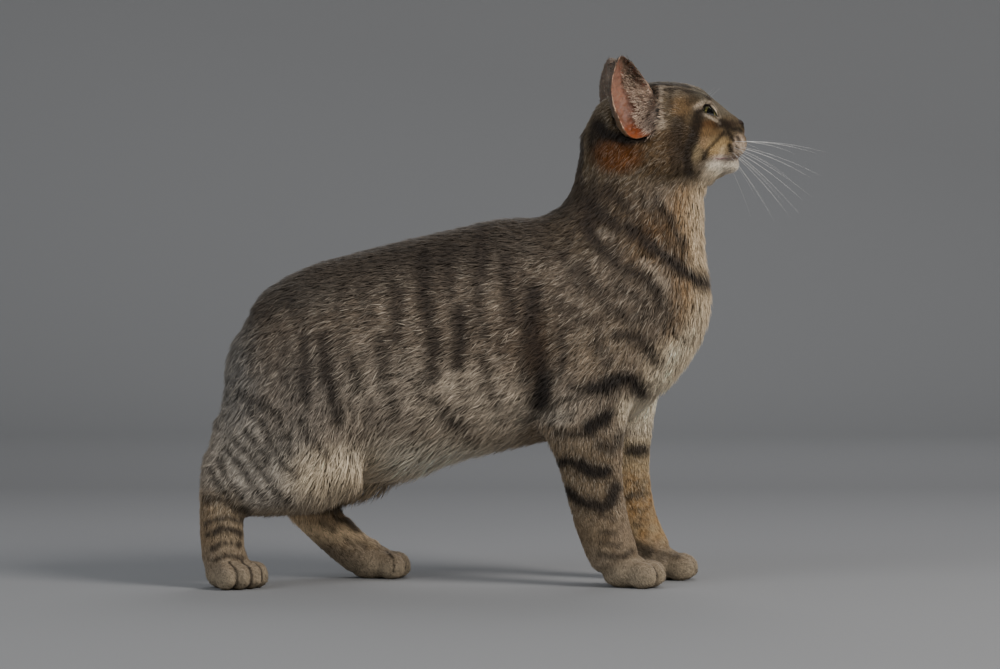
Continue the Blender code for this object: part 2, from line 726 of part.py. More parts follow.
def nose_node(nodes, work):
    """The nose leather with its two nostrils."""
    nose = add_object("nose_blank", nose_shape(0), work)
    cutters = new_collection("nostrils")
    x, y, z = NOSTRIL
    for side in (1, -1):
        turn = Matrix.Rotation(math.radians(38) * side, 4, "Z")
        nostril = ellipsoid((x, y * side, z), NOSTRIL_RADII, turn, around=10)
        add_object("nostril", nostril, cutters)
    nose = boolean(nose, cutters, "DIFFERENCE", "nose", nodes)
    nose.data.transform(head_turn())
    return nose


def whisker(root, direction, length):
    """A thin three-sided spine that droops and tapers to its tip."""
    bm = bmesh.new()
    steps = 5
    side = direction.cross(Vector((0, 0, 1))).normalized()
    loops = []
    for i in range(steps):
        t = i / steps
        centre = root + direction * length * t - Vector((0, 0, 1)) * 0.22 * length * t * t
        radius = WHISKER_RADIUS * (1 - 0.45 * t**3)
        up = side.cross(direction).normalized()
        corners = [(math.cos(a), math.sin(a)) for a in (0, 2 * math.pi / 3, 4 * math.pi / 3)]
        loops.append([bm.verts.new(centre + (side * c + up * s) * radius) for c, s in corners])
    tip = bm.verts.new(root + direction * length - Vector((0, 0, 1)) * 0.22 * length)
    for low, high in zip(loops, loops[1:]):
        for k in range(3):
            bm.faces.new((low[k], low[(k + 1) % 3], high[(k + 1) % 3], high[k]))
    for k in range(3):
        bm.faces.new((loops[-1][k], loops[-1][(k + 1) % 3], tip))
    bm.faces.new(loops[0])
    return bm


def add_whiskers(muzzle, nodes):
    """Four rows of three on each pad, fused into it with their roots sunk in."""
    spines = new_collection("whiskers")
    for side in (1, -1):
        for r, z in enumerate(WHISKER_ROWS):
            for c, x in enumerate(WHISKER_COLUMNS):
                outwards = math.radians(22 + 18 * c)
                rise = math.radians(6 - 11 * r)
                flat = math.cos(rise)
                way = Vector((math.cos(outwards) * flat, math.sin(outwards) * side * flat, math.sin(rise)))
                root = Vector((x, 0.0125 * side, z)) - way * 0.002
                length = WHISKER_LENGTH * (1 - 0.06 * r + 0.05 * c)
                add_object("whisker", whisker(root, way, length), spines).data.transform(head_turn())
    return boolean(muzzle, spines, "UNION", "muzzle", nodes)


def cut_head(head, work, nodes):
    """Parts the head into cranium, muzzle and chin."""
    slabs = new_collection("head_slabs")
    turn = head_turn()
    line_cutter((0.1505, 0.335), (0.1345, 0.262), 0.03, slabs).data.transform(turn)
    line_cutter((0.1386, MOUTH_Z - 0.0006), (0.1700, MOUTH_Z), 0.03, slabs).data.transform(turn)
    head = boolean(head, slabs, "DIFFERENCE", "head_cut", work)
    seeds = {
        "head": (0.100, 0, 0.305),
        "muzzle": (0.150, 0, 0.305),
        "chin": (0.148, 0, 0.283),
    }
    return name_parts(head, seeds, nodes)


def cut_body(body, work, nodes):
    """Parts the body into neck, chest, loin and the lengths of the legs."""
    slabs = new_collection("body_slabs")
    line_cutter((0.018, 0.262), (0.150, 0.2150), 0.06, slabs)            # neck from chest
    line_cutter((-0.012, 0.262), (-0.012, 0.075), 0.08, slabs)           # chest from loin
    front_of_haunch, behind = Vector((-0.115, 0, 0.260)), Vector((-0.066, 0, 0.040))
    line_cutter(front_of_haunch.xz, behind.xz, 0.08, slabs)              # haunches from loin
    along = behind - front_of_haunch
    backwards = along.cross(Vector((0, 1, 0))).normalized()
    if backwards.x > 0:
        backwards.negate()
    reach = HAUNCH_LENGTH / 2
    middle = (front_of_haunch + behind) / 2 + backwards * reach
    plane_cutter(middle, (0, 1, 0), along, along.length / 2, reach, slabs)  # haunch from haunch
    for side in (1, -1):
        line_cutter((0.005, 0.086), (0.130, 0.112), 0.032, slabs, 0.034 * side)
    line_cutter((0.030, 0.033), (0.100, 0.024), 0.028, slabs, -0.030)    # near fore paw
    line_cutter((0.060, 0.036), (0.130, 0.022), 0.028, slabs, 0.030)     # far fore paw
    line_cutter((-0.225, 0.064), (-0.160, 0.0400), 0.028, slabs, -0.036)  # near hock
    line_cutter((-0.225, 0.026), (-0.150, 0.026), 0.028, slabs, -0.036)   # near hind paw
    line_cutter((-0.1780, 0.0765), (-0.1000, 0.0450), 0.028, slabs, 0.040)  # far hock
    line_cutter((-0.1290, 0.000), (-0.0920, 0.045), 0.028, slabs, 0.040)  # far hind paw
    body = boolean(body, slabs, "DIFFERENCE", "body_cut", work)
    seeds = {
        "neck": (0.090, 0, 0.255),
        "chest": (0.055, 0, 0.170),
        "loin": (-0.055, 0, 0.160),
        "haunch_right": (-0.150, -0.030, 0.130),
        "haunch_left": (-0.140, 0.030, 0.130),
        "hind_shin_right": (-0.187, -0.035, 0.042),
        "hind_shin_left": (-0.132, 0.040, 0.042),
        "hind_paw_right": (-0.180, -0.036, 0.012),
        "hind_paw_left": (-0.088, 0.041, 0.012),
        "forearm_right": (0.056, -0.031, 0.065),
        "forearm_left": (0.080, 0.031, 0.065),
        "forepaw_right": (0.080, -0.029, 0.012),
        "forepaw_left": (0.105, 0.029, 0.012),
    }
    return name_parts(body, seeds, nodes)


def add_eyes(nodes):
    """Both eyeballs."""
    for side, name in ((1, "eye_left"), (-1, "eye_right")):
        bm = ellipsoid((0, 0, 0), (EYE_RADIUS,) * 3, around=18)
        add_object(name, bm, nodes).data.transform(eye_frame(side))


def finish(colour, roughness):
    """A plain coloured material."""
    material = bpy.data.materials.new("finish")
    material.use_nodes = True
    shader = material.node_tree.nodes["Principled BSDF"]
    shader.inputs["Base Color"].default_value = (*colour, 1)
    shader.inputs["Roughness"].default_value = roughness
    return material


def dress(nodes):
    """Gives every node its material, and centres the animal on the origin."""
    back = finish((0.23, 0.19, 0.15), 0.85)
    limbs = finish((0.34, 0.27, 0.19), 0.85)
    pale = finish((0.55, 0.46, 0.34), 0.8)
    ear = finish((0.45, 0.28, 0.22), 0.7)
    leather = finish((0.12, 0.07, 0.06), 0.45)
    eye = finish((0.42, 0.40, 0.14), 0.1)
    for obj in nodes.objects:
        material = back
        if obj.name.startswith(("fore", "hind")):
            material = limbs
        if obj.name in ("muzzle", "chin"):
            material = pale
        if obj.name.startswith("ear"):
            material = ear
        if obj.name.startswith("eye"):
            material = eye
        if obj.name == "nose":
            material = leather
        obj.data.materials.clear()
        obj.data.materials.append(material)
        obj.data.transform(Matrix.Translation((MIDDLE_SHIFT_X, MIDDLE_SHIFT_Y, 0)))
        obj.data.shade_smooth()


def main():
    clear_scene()
    nodes = new_collection("cat")
    work = new_collection("work")
    whole = make_skin(work)
    nape, throat = Vector((0.0440, 0, 0.2960)), Vector((0.1330, 0, 0.2640))
    square = (throat - nape).cross(Vector((0, 1, 0))).normalized()
    if square.z < 0:
        square.negate()
    head = keep_side(whole, nape - square * SPARE, square, "head_whole", work)
    body = keep_side(whole, nape + square * SPARE, -square, "body_whole", work)
    head = thin_out(head, HEAD_TRIANGLES, "head_whole", work)
    body = thin_out(body, BODY_TRIANGLES, "body_whole", work)
    head = keep_side(head, nape + square * GAP / 2, square, "head_whole", work)
    body = keep_side(body, nape - square * GAP / 2, -square, "body_whole", work)
    body = keep_side(body, (0, 0, 0), (0, 0, 1), "body_whole", work)
    head = carve_face(head, work)
    head = hollow_head(head, work)
    ear_nodes(head, work, nodes)
    parts = cut_head(head, work, nodes)
    add_whiskers(parts["muzzle"], nodes)
    cut_body(body, work, nodes)
    nose_node(nodes, work)
    add_eyes(nodes)
    dress(nodes)
    for obj in list(bpy.data.objects):
        if obj.name not in nodes.objects:
            bpy.data.objects.remove(obj, do_unlink=True)


main()
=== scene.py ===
"""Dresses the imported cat: one furred skin over its flesh, with eyes, lids, ears, nose and whiskers.

Everything is in metres in the row frame. Markings are written as strokes on the cat's side view, in the
units that SIDE_UNIT gives, and both sides of the cat carry them.
"""

import math

import bmesh
import bpy
import numpy as np
from mathutils import Matrix, Vector
from mathutils.bvhtree import BVHTree


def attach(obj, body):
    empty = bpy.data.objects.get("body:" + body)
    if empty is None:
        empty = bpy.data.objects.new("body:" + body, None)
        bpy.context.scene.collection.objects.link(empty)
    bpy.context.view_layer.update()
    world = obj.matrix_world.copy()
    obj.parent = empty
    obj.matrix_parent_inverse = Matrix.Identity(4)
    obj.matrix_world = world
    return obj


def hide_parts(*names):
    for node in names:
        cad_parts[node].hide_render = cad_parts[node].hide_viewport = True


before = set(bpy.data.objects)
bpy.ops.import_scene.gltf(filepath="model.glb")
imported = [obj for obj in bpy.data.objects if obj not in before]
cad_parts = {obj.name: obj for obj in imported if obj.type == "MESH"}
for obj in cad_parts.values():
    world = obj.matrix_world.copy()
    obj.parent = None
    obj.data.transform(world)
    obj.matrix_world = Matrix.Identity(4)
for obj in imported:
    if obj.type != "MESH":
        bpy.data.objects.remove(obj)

# Sizes that the solids are built from, repeated here. The ear's wall and rim are a little finer than the
# solid ear's, and the whiskers' rows start lower than the solid whiskers.
SHIFT = (-0.0039, -0.0080, 0.0)
HEAD_YAW = math.radians(4)
HEAD_ROLL = math.radians(3)
HEAD_PIVOT = (0.075, 0.0, 0.300)
EYE_CENTRE = (0.1284, 0.0172, 0.3153)
EYE_RADIUS = 0.0102
GAZE_OUT, GAZE_UP, EYE_SLANT = math.radians(37), math.radians(25), math.radians(19)
OPENING_LENGTH, UPPER_OPENING, LOWER_OPENING = 0.0200, 0.0082, 0.0030
EAR_LINE = (
    (-0.5, (0.0895, 0.0385, 0.3045)),
    (0.0, (0.0840, 0.0290, 0.3215)),
    (1.0, (0.0705, 0.0360, 0.3570)),
)
EAR_FACES = (0.62, 0.77, 0.10)
EAR_HALF_WIDTH, EAR_DEPTH, EAR_TUCK = 0.0182, 0.0120, 0.0060
EAR_WALL, EAR_RIM = 0.0018, 0.0011
NOSE_CENTRE, NOSE_RADII = (0.1537, 0.0, 0.3118), (0.0050, 0.0064, 0.0041)
WHISKER_ROWS = (0.3004, 0.2976, 0.2948, 0.2922)
WHISKER_COLUMNS = (0.1530, 0.1500, 0.1468)

# Each paw's place on the floor and the way its toes point, in degrees
PAWS = (((0.0770, -0.0290), -10), ((0.1020, 0.0290), 6), ((-0.1895, -0.0350), -46), ((-0.0960, 0.0410), 4))

# Half axes of the room that the coat leaves round each eye, and places up the ear for its edges
EYE_GUARD = (0.013, 0.0125, 0.0095)
EAR_KNOTS = (-0.5, -0.3, 0.0, 0.5, 0.8, 1.0)

# The side view on which the markings are written
SIDE_UNIT = 0.00068
SIDE_ORIGIN = (511.0, 583.0)
VIEW_FROM = (-0.0075, -2.2, 0.200)

# The camera, in the picture's elements: focal length, width, half height and the horizon's height
FOCAL_LENGTH = 3235
PICTURE_WIDTH = 1000
PICTURE_MIDDLE = 334.5
HORIZON = 289

# The rump's outline: heights over the floor and places along the body
RUMP_HEIGHTS = (0.118, 0.1312, 0.1448, 0.1550, 0.1652, 0.1741, 0.1863)
RUMP_OUTLINE = (-0.1950, -0.1940, -0.1945, -0.1924, -0.1877, -0.1822, -0.1741)
RUMP_COAT = 0.0008

FLESH = (
    "head", "muzzle", "chin", "neck", "chest", "loin", "haunch_left", "haunch_right",
    "hind_shin_left", "hind_shin_right", "hind_paw_left", "hind_paw_right",
    "forearm_left", "forearm_right", "forepaw_left", "forepaw_right",
)
GRAIN = 0.0012
SKIN_TRIANGLES = 150000
TUFTS = 238000
TUFTS_A_PIECE = 32500
# A tuft's two parts as shares of its length, and how much of its lift the upper one keeps
TUFT_LOWER, TUFT_UPPER, UPPER_LEAN = 0.46, 0.56, 0.3
CHANCE = np.random.default_rng(11)


# Small helpers

def head_turn():
    """From the head's own frame to the row frame."""
    pivot = Vector(HEAD_PIVOT)
    turn = Matrix.Rotation(HEAD_YAW, 4, "Z") @ Matrix.Rotation(HEAD_ROLL, 4, "X")
    return Matrix.Translation(SHIFT) @ (Matrix.Translation(pivot) @ turn @ Matrix.Translation(-pivot))


def eye_frame(side):
    """The eye's place: X out through the opening, Y along it, Z up."""
    x, y, z = EYE_CENTRE
    gaze = Matrix.Rotation(GAZE_OUT * side, 4, "Z") @ Matrix.Rotation(-GAZE_UP, 4, "Y")
    slant = Matrix.Rotation(EYE_SLANT * side, 4, "X")
    return head_turn() @ Matrix.Translation((x, y * side, z)) @ gaze @ slant


def through(matrix, points):
    """Numpy points through a Blender matrix."""
    m = np.array(matrix)
    return points @ m[:3, :3].T + m[:3, 3]


def in_body(points):
    """Row-frame points in the body's own frame."""
    return points - np.array(SHIFT)


def side_name(side):
    return "left" if side > 0 else "right"


def unit(vectors):
    return vectors / np.maximum(np.linalg.norm(vectors, axis=1), 1e-9)[:, None]


def laid(vectors, outwards):
    """The part of each vector that lies along the surface."""
    return vectors - outwards * (vectors * outwards).sum(1)[:, None]


def leaning(up, along, angle):
    """A way turned from along towards up by an angle."""
    return np.sin(angle)[:, None] * up + np.cos(angle)[:, None] * along


def guard(points, matrix, radii, centre=(0, 0, 0)):
    """How far each point is from an oval in the matrix's frame: 1 on its surface."""
    local = through(matrix.inverted(), points) - np.array(centre)
    return np.linalg.norm(local / np.array(radii), axis=1)


def ease(low, high, values):
    """0 below low, 1 above high, smooth between."""
    t = np.clip((values - low) / (high - low), 0, 1)
    return t * t * (3 - 2 * t)


def drift(points, size, seed):
    """A smooth random field from about -1 to 1 whose waves are about size long."""
    draw = np.random.default_rng(seed)
    total = np.zeros(len(points))
    for _ in range(5):
        way = draw.normal(size=3)
        way *= (2 * math.pi / size) * draw.uniform(0.7, 1.6) / np.linalg.norm(way)
        bend = draw.normal(size=3)
        bend *= (2 * math.pi / size) * 0.8 / np.linalg.norm(bend)
        total += np.sin(points @ way + 1.4 * np.sin(points @ bend + draw.uniform(0, 6)) + draw.uniform(0, 6))
    return total / 2.6


def new_object(name, mesh):
    obj = bpy.data.objects.new(name, mesh)
    bpy.context.scene.collection.objects.link(obj)
    return obj


def from_bmesh(name, bm):
    mesh = bpy.data.meshes.new(name)
    bm.to_mesh(mesh)
    bm.free()
    return new_object(name, mesh)


def evaluated(obj):
    """The object's shape after its modifiers, as a plain mesh."""
    bpy.context.view_layer.update()
    graph = bpy.context.evaluated_depsgraph_get()
    return bpy.data.meshes.new_from_object(obj.evaluated_get(graph))


def applied(obj):
    """Puts the modifiers of an object into its mesh."""
    mesh = evaluated(obj)
    obj.modifiers.clear()
    obj.data = mesh


def read_rows(items, field, width, kind):
    """A field of every item, one row for each."""
    out = np.empty(len(items) * width, kind)
    items.foreach_get(field, out)
    return out.reshape(-1, width)


def places(mesh):
    return read_rows(mesh.vertices, "co", 3, float)


def normals(mesh):
    return read_rows(mesh.vertex_normals, "vector", 3, np.float32).astype(float)


def smooth(mesh):
    mesh.polygons.foreach_set("use_smooth", np.ones(len(mesh.polygons), bool))


def move_to(mesh, points):
    mesh.vertices.foreach_set("co", points.astype(np.float32).ravel())
    mesh.update()


def paint(mesh, colours, name="coat_colour"):
    """Stores a colour for each vertex."""
    layer = mesh.attributes.new(name, "FLOAT_COLOR", "POINT")
    rgba = np.ones((len(colours), 4), np.float32)
    rgba[:, :3] = np.clip(colours, 0, 1)
    layer.data.foreach_set("color", rgba.ravel())


# Where things are on the side view

def side_view(points, fold=True):
    """Side view coordinates of row-frame points. The fold brings the left side onto the right."""
    body = in_body(points)
    across = -np.abs(body[:, 1]) if fold else body[:, 1]
    nearer = VIEW_FROM[1] / (VIEW_FROM[1] - across)
    x = (body[:, 0] - VIEW_FROM[0]) * nearer + VIEW_FROM[0]
    z = (body[:, 2] - VIEW_FROM[2]) * nearer + VIEW_FROM[2]
    return np.stack([SIDE_ORIGIN[0] + x / SIDE_UNIT, SIDE_ORIGIN[1] - z / SIDE_UNIT], 1)


def stroke(places_2d, path, half_width, soft=0.8):
    """1 on a drawn line, falling to 0 beyond its half width. The path is x and y of each point in turn."""
    path = np.array(path, float).reshape(-1, 2)
    low, high = path.min(0) - 3 * half_width, path.max(0) + 3 * half_width
    near = np.all((places_2d > low) & (places_2d < high), axis=1)
    found = np.full(len(places_2d), 0.0)
    spots = places_2d[near]
    best = np.full(len(spots), 1e9)
    for a, b in zip(path[:-1], path[1:]):
        along = b - a
        t = np.clip(((spots - a) @ along) / max(along @ along, 1e-9), 0, 1)
        best = np.minimum(best, np.linalg.norm(spots - a - t[:, None] * along, axis=1))
    found[near] = 1 - ease(half_width * (1 - soft * 0.6), half_width * (1 + soft), best)
    return found


def strongest(view, table, soft=0.8, fine_soft=None):
    """The strongest stroke of a table at each place. Fine strokes may have an edge of their own."""
    found = np.zeros(len(view))
    for half_width, strength, *path in table:
        edge = fine_soft if fine_soft and half_width <= FINE_STROKE else soft
        found = np.maximum(found, strength / 100 * stroke(view, path, half_width, edge))
    return found


# Strokes of up to this half width may have an edge of their own
FINE_STROKE = 3.5

# Dark strokes: half width, strength in hundredths, then x and y of each point in turn
BODY_STROKES = (
    (6.5, 80, 380, 340, 382, 358, 384, 378), (7, 80, 396, 290, 397, 318, 395, 338),
    (7.5, 95, 425, 258, 424, 295, 428, 325), (7.5, 90, 431, 328, 434, 352, 431, 378),
    (6, 60, 418, 376, 422, 398), (7, 75, 448, 252, 450, 298), (8, 95, 459, 310, 461, 340, 457, 364),
    (6.5, 55, 462, 386, 464, 410), (6, 85, 434, 400, 444, 416, 462, 430), (4, 50, 456, 420, 470, 442),
    (6, 80, 482, 232, 481, 266, 478, 296), (6, 75, 481, 360, 488, 384, 494, 404),
    (6, 75, 476, 306, 484, 334), (5, 50, 500, 322, 502, 358), (6.5, 85, 505, 258, 508, 296, 513, 322),
    (5, 75, 521, 272, 521, 300), (10, 100, 533, 292, 532, 330, 536, 356, 543, 382, 540, 404),
    (9, 75, 526, 340, 526, 380), (4, 75, 535, 417, 558, 401, 584, 396), (3, 60, 524, 421, 546, 413),
    (5, 70, 566, 328, 578, 322, 592, 322, 600, 336), (5, 75, 560, 334, 564, 356, 560, 372),
    (7, 75, 594, 343, 602, 352, 607, 364), (5, 90, 614, 335, 628, 336, 640, 340, 650, 352, 656, 364),
    (8, 100, 592, 388, 606, 386, 622, 379, 636, 382, 640, 393), (4, 80, 572, 386, 592, 389),
    (5, 75, 603, 298, 612, 311, 626, 318, 642, 319),
    (5.5, 85, 586, 226, 600, 248, 620, 266, 640, 276, 654, 286, 662, 306),
    (5.5, 75, 578, 268, 594, 286, 606, 302), (5, 70, 560, 254, 572, 272, 580, 292),
    (5, 65, 552, 300, 566, 312, 580, 312), (4.5, 70, 616, 286, 634, 296, 648, 312),
    (4.5, 60, 640, 198, 656, 218, 670, 240, 688, 262), (4.5, 80, 656, 200, 672, 224, 684, 246),
    (4.5, 55, 628, 208, 642, 226, 654, 240),
    (7, 100, 630, 228, 648, 242, 668, 258, 685, 272, 700, 281, 712, 285), (7, 85, 598, 212, 616, 226),
    (6, 75, 606, 190, 626, 206), (4.5, 70, 640, 276, 656, 292, 668, 314),
    (3, 55, 655, 320, 676, 334, 687, 341), (2, 50, 662, 300, 682, 308), (2, 50, 664, 316, 684, 323),
    (2, 45, 668, 330, 684, 338), (2, 40, 640, 356, 650, 362, 664, 362), (6, 60, 283, 336, 285, 380),
    (6.5, 85, 303, 336, 304, 375, 306, 400), (7, 90, 323, 338, 327, 380), (6.5, 90, 331, 388, 338, 420),
    (5, 60, 342, 326, 343, 352), (6, 75, 352, 362, 358, 386), (6, 65, 288, 296, 302, 322),
    (5, 50, 266, 338, 269, 374), (5, 55, 249, 348, 252, 374), (6, 70, 390, 391, 393, 419),
    (5, 45, 345, 426, 356, 448), (5, 50, 310, 330, 317, 348), (6, 60, 365, 290, 366, 320),
    (5, 60, 404, 350, 402, 374), (6, 55, 340, 290, 338, 318), (4, 50, 368, 398, 372, 424),
    (4, 45, 408, 420, 414, 444), (3, 75, 225, 447, 238, 465, 249, 482, 262, 498),
    (3, 75, 217, 460, 228, 480, 241, 497), (3.2, 75, 231, 438, 247, 452, 260, 470, 273, 490, 286, 501),
    (3.2, 75, 261, 430, 272, 450, 285, 466, 296, 477), (3, 75, 246, 432, 258, 448, 268, 462),
    (3.5, 65, 249, 409, 262, 425, 273, 441), (3.5, 75, 264, 399, 279, 419, 289, 441),
    (3.5, 70, 300, 423, 311, 440, 327, 457), (3.5, 70, 238, 394, 256, 403, 270, 414),
    (3, 75, 210, 470, 220, 488, 232, 501), (3.5, 60, 281, 440, 292, 456),
)
NEAR_LEG_STROKES = (
    (3.2, 75, 556, 433, 575, 435, 592, 432), (7, 100, 590, 429, 600, 422, 608, 416),
    (6, 75, 600, 446, 612, 449, 621, 440), (4.5, 95, 555, 466, 566, 461, 584, 466),
    (7.5, 100, 582, 466, 594, 472, 606, 472), (5, 95, 566, 491, 576, 500, 590, 506),
    (6.5, 95, 590, 504, 602, 508, 612, 500, 616, 488), (2.5, 50, 605, 482, 618, 490),
    (2, 55, 598, 516, 616, 518), (2.5, 60, 600, 532, 616, 534), (2.2, 60, 600, 543, 621, 545),
    (3, 65, 600, 556, 625, 557, 633, 551), (2.4, 80, 206, 524, 216, 520, 228, 518, 240, 521),
    (2.6, 90, 208, 536, 219, 530, 231, 530, 241, 534), (2.4, 85, 211, 549, 224, 543, 240, 545),
    (2, 70, 214, 559, 228, 556, 243, 559), (3.5, 80, 205, 500, 220, 500, 234, 508, 247, 512),
)
FAR_LEG_STROKES = (
    (6, 95, 628, 452, 645, 450), (3.5, 75, 626, 499, 641, 494), (2, 60, 637, 485, 650, 493),
    (3.5, 70, 628, 530, 634, 547, 652, 553), (1.6, 55, 634, 510, 648, 510), (1.6, 55, 638, 518, 648, 520),
    (4, 55, 662, 556, 676, 556), (3, 80, 300, 512, 322, 512, 344, 508),
    # The stroke from 386, 551 to 393, 573 is painted shade for a toe cleft of the far hind paw.
    (0.9, 90, 386, 551, 393, 558, 393, 573), (1.4, 50, 632, 480, 648, 482), (1.4, 55, 632, 524, 642, 526),
    (2.6, 75, 334, 517, 349, 521, 358, 529), (2.2, 55, 322, 524, 334, 531), (2, 55, 345, 537, 354, 545),
    (2, 55, 356, 540, 366, 548),
)
FACE_STROKES = (
    (5, 90, 699, 113, 696, 125, 692, 142, 687, 158, 689, 172), (5, 60, 684, 150, 682, 172),
    (6, 55, 677, 122, 674, 150, 677, 170), (1.6, 75, 724, 133, 717, 140, 710, 147, 704, 158),
    (3.2, 80, 721, 121, 728, 127), (2, 80, 727, 128, 729, 134), (1.7, 90, 732, 129, 736, 129),
    (1.5, 85, 739, 128, 741, 131), (1.6, 85, 731, 137, 733, 140), (1.5, 80, 737, 137, 739, 141),
    (2, 90, 729, 145, 731, 150), (1.3, 70, 736, 146, 738, 149), (2.5, 55, 686, 91, 700, 97, 708, 98),
    (3, 50, 688, 103, 694, 98), (4, 45, 650, 86, 651, 102), (3, 50, 671, 92, 669, 106),
    (2.2, 80, 742, 118, 744, 126), (1.1, 100, 698, 111, 703, 109),
    # The stroke from 598, 126 to 643, 138 is painted shadow under the ear.
    (2.2, 65, 644, 83, 660, 82.5, 676, 83, 688, 86), (5, 100, 598, 126, 606, 134, 624, 139, 643, 138),
)
# Pale strokes, written in the same way
PALE_STROKES = (
    (1.8, 30, 661, 86, 659, 104, 660, 118), (5, 50, 642, 116, 650, 122, 660, 124),
    # The stroke from 709, 102 to 719, 117 is the pale upper lid edge, partly a painted reflection along the
    # cornea's front edge.
    (1.6, 90, 709, 102, 714, 109, 719, 117), (2.6, 50, 696, 108, 704, 101),
    (1.2, 80, 702, 113, 707, 115.6, 713.5, 119, 720.5, 123.2), (3, 50, 640, 262, 655, 272, 668, 288),
    (3, 50, 600, 232, 612, 238),
)


def noisy_view(points, view, amount):
    """The side view with the edges of the strokes made uneven."""
    broad = np.stack([drift(points, 0.016, 3), drift(points, 0.016, 4)], 1)
    small = np.stack([drift(points, 0.006, 5), drift(points, 0.006, 6)], 1)
    return view + amount * broad + 0.45 * amount * small


def patch(view, centre, radii, soft=0.5):
    """1 inside an oval of the side view, falling to 0 outside."""
    away = np.linalg.norm((view - np.array(centre)) / np.array(radii), axis=1)
    return 1 - ease(1 - soft, 1 + soft, away)


def mix(base, colour, share):
    """A share of one colour over another. Each may be one colour or a row for each point."""
    base = np.asarray(base)
    return base + (np.asarray(colour) - base) * np.clip(share, 0, 1)[:, None]


def layered(base, view, table, soft, where=1):
    """The base with a table's soft patches laid over it in turn."""
    for x, y, wide, high, red, green, blue, strength in table:
        colour = np.array((red, green, blue)) / 1000
        base = mix(base, colour, strength / 100 * patch(view, (x, y), (wide, high), soft) * where)
    return base


# Colours of the coat


AGOUTI = (0.202, 0.152, 0.106)
SADDLE = (0.036, 0.026, 0.018)
BAR = (0.024, 0.017, 0.012)
STRIPE = (0.036, 0.025, 0.017)
FACE_BAR_AND_SHADOW = (0.017, 0.010, 0.005)
CREAM = (0.66, 0.50, 0.32)
WARM = (0.42, 0.240, 0.095)
TAN = (0.265, 0.190, 0.115)
PAW = (0.32, 0.245, 0.165)
ORANGE = (0.39, 0.225, 0.090)
# Painted shade for the clefts between the toes
CLEFT_SHADE = (0.035, 0.026, 0.018)

# Patches of a different ground colour: middle, radii, colour in thousandths, strength in hundredths
GROUND = (
    (455, 408, 100, 38, 860, 700, 520, 85), (380, 400, 60, 50, 360, 295, 225, 60),
    (235, 395, 26, 60, 215, 195, 170, 85), (262, 470, 52, 45, 560, 490, 400, 90),
    (300, 395, 40, 50, 185, 160, 135, 60), (425, 462, 85, 18, 920, 800, 620, 90),
    (330, 480, 38, 28, 780, 620, 420, 90), (512, 330, 14, 50, 220, 150, 95, 50),
    (580, 236, 34, 24, 64, 43, 23, 80), (612, 202, 34, 30, 120, 76, 38, 85),
    (588, 206, 13, 26, 40, 26, 16, 85), (650, 244, 24, 28, 140, 74, 24, 75),
    (538, 350, 15, 62, 105, 66, 34, 75), (600, 350, 34, 30, 290, 212, 134, 60),
    # The patch at 664, 372 is cream raised to full brightness, partly painted light lifting the shade under
    # the chest.
    (636, 412, 17, 17, 900, 780, 580, 95), (664, 372, 20, 24, 1000, 820, 580, 90),
    (555, 418, 16, 10, 440, 380, 300, 60),
)
# The same for the face
FACE = (
    (657, 150, 28, 26, 118, 68, 29, 90), (682, 88, 30, 9, 165, 122, 78, 85), (655, 90, 7, 8, 85, 45, 24, 75),
    (680, 107, 11, 10, 200, 116, 50, 75), (650, 112, 11, 19, 500, 350, 240, 85),
    # The dark patch at 683, 140 is painted shade on the side of the face behind the eye.
    # The pale patch at 649, 115 is painted light lifting the shade in the crease at the ear's front rim.
    (649, 115, 6, 9, 900, 660, 480, 80), (683, 140, 8, 22, 70, 42, 19, 85),
    (701, 91, 10, 5, 200, 175, 120, 70), (704, 97, 5, 5, 300, 255, 175, 70),
    (699, 107, 6, 3.5, 400, 290, 200, 65), (709, 125, 10, 5, 130, 62, 22, 90),
    (727, 124, 12, 4, 55, 34, 20, 95), (706, 133, 8, 6, 260, 150, 64, 85),
    (706, 143, 7, 6, 420, 270, 140, 85), (716, 133, 7, 4, 240, 140, 60, 70),
    (720, 148, 13, 10, 560, 375, 175, 95), (725, 151, 6, 6, 920, 680, 400, 80),
    (739, 144, 6, 9, 620, 460, 330, 90), (696, 153, 6, 9, 420, 310, 170, 75),
    (727, 158, 14, 3.5, 920, 720, 570, 85), (740, 151, 9, 9, 720, 560, 420, 90),
    (722, 108, 17, 7, 172, 141, 97, 90), (725, 168, 22, 9, 930, 800, 630, 100),
    # The patch at 710, 178 is partly the pale fur under the jaw, partly painted light lifting the jaw's
    # shade.
    (710, 178, 10, 9, 950, 780, 560, 90), (699, 166, 7, 8, 200, 145, 85, 70),
    (597, 138, 11, 22, 28, 17, 9, 90), (617, 156, 23, 17, 160, 53, 9, 100),
)

# Patches made lighter or darker: middle, radii, gain of red, green and blue in hundredths
EVENED = (
    (300, 390, 45, 45, 88, 88, 88), (232, 395, 16, 42, 86, 86, 86), (258, 468, 34, 32, 88, 88, 88),
    (580, 234, 26, 20, 115, 115, 115), (655, 228, 18, 16, 97, 86, 70), (450, 256, 85, 15, 89, 89, 89),
    (300, 295, 36, 17, 110, 116, 122), (536, 350, 9, 36, 110, 100, 92), (536, 352, 9, 36, 115, 115, 115),
    (385, 562, 24, 14, 115, 115, 115), (336, 470, 22, 22, 90, 90, 90),
)


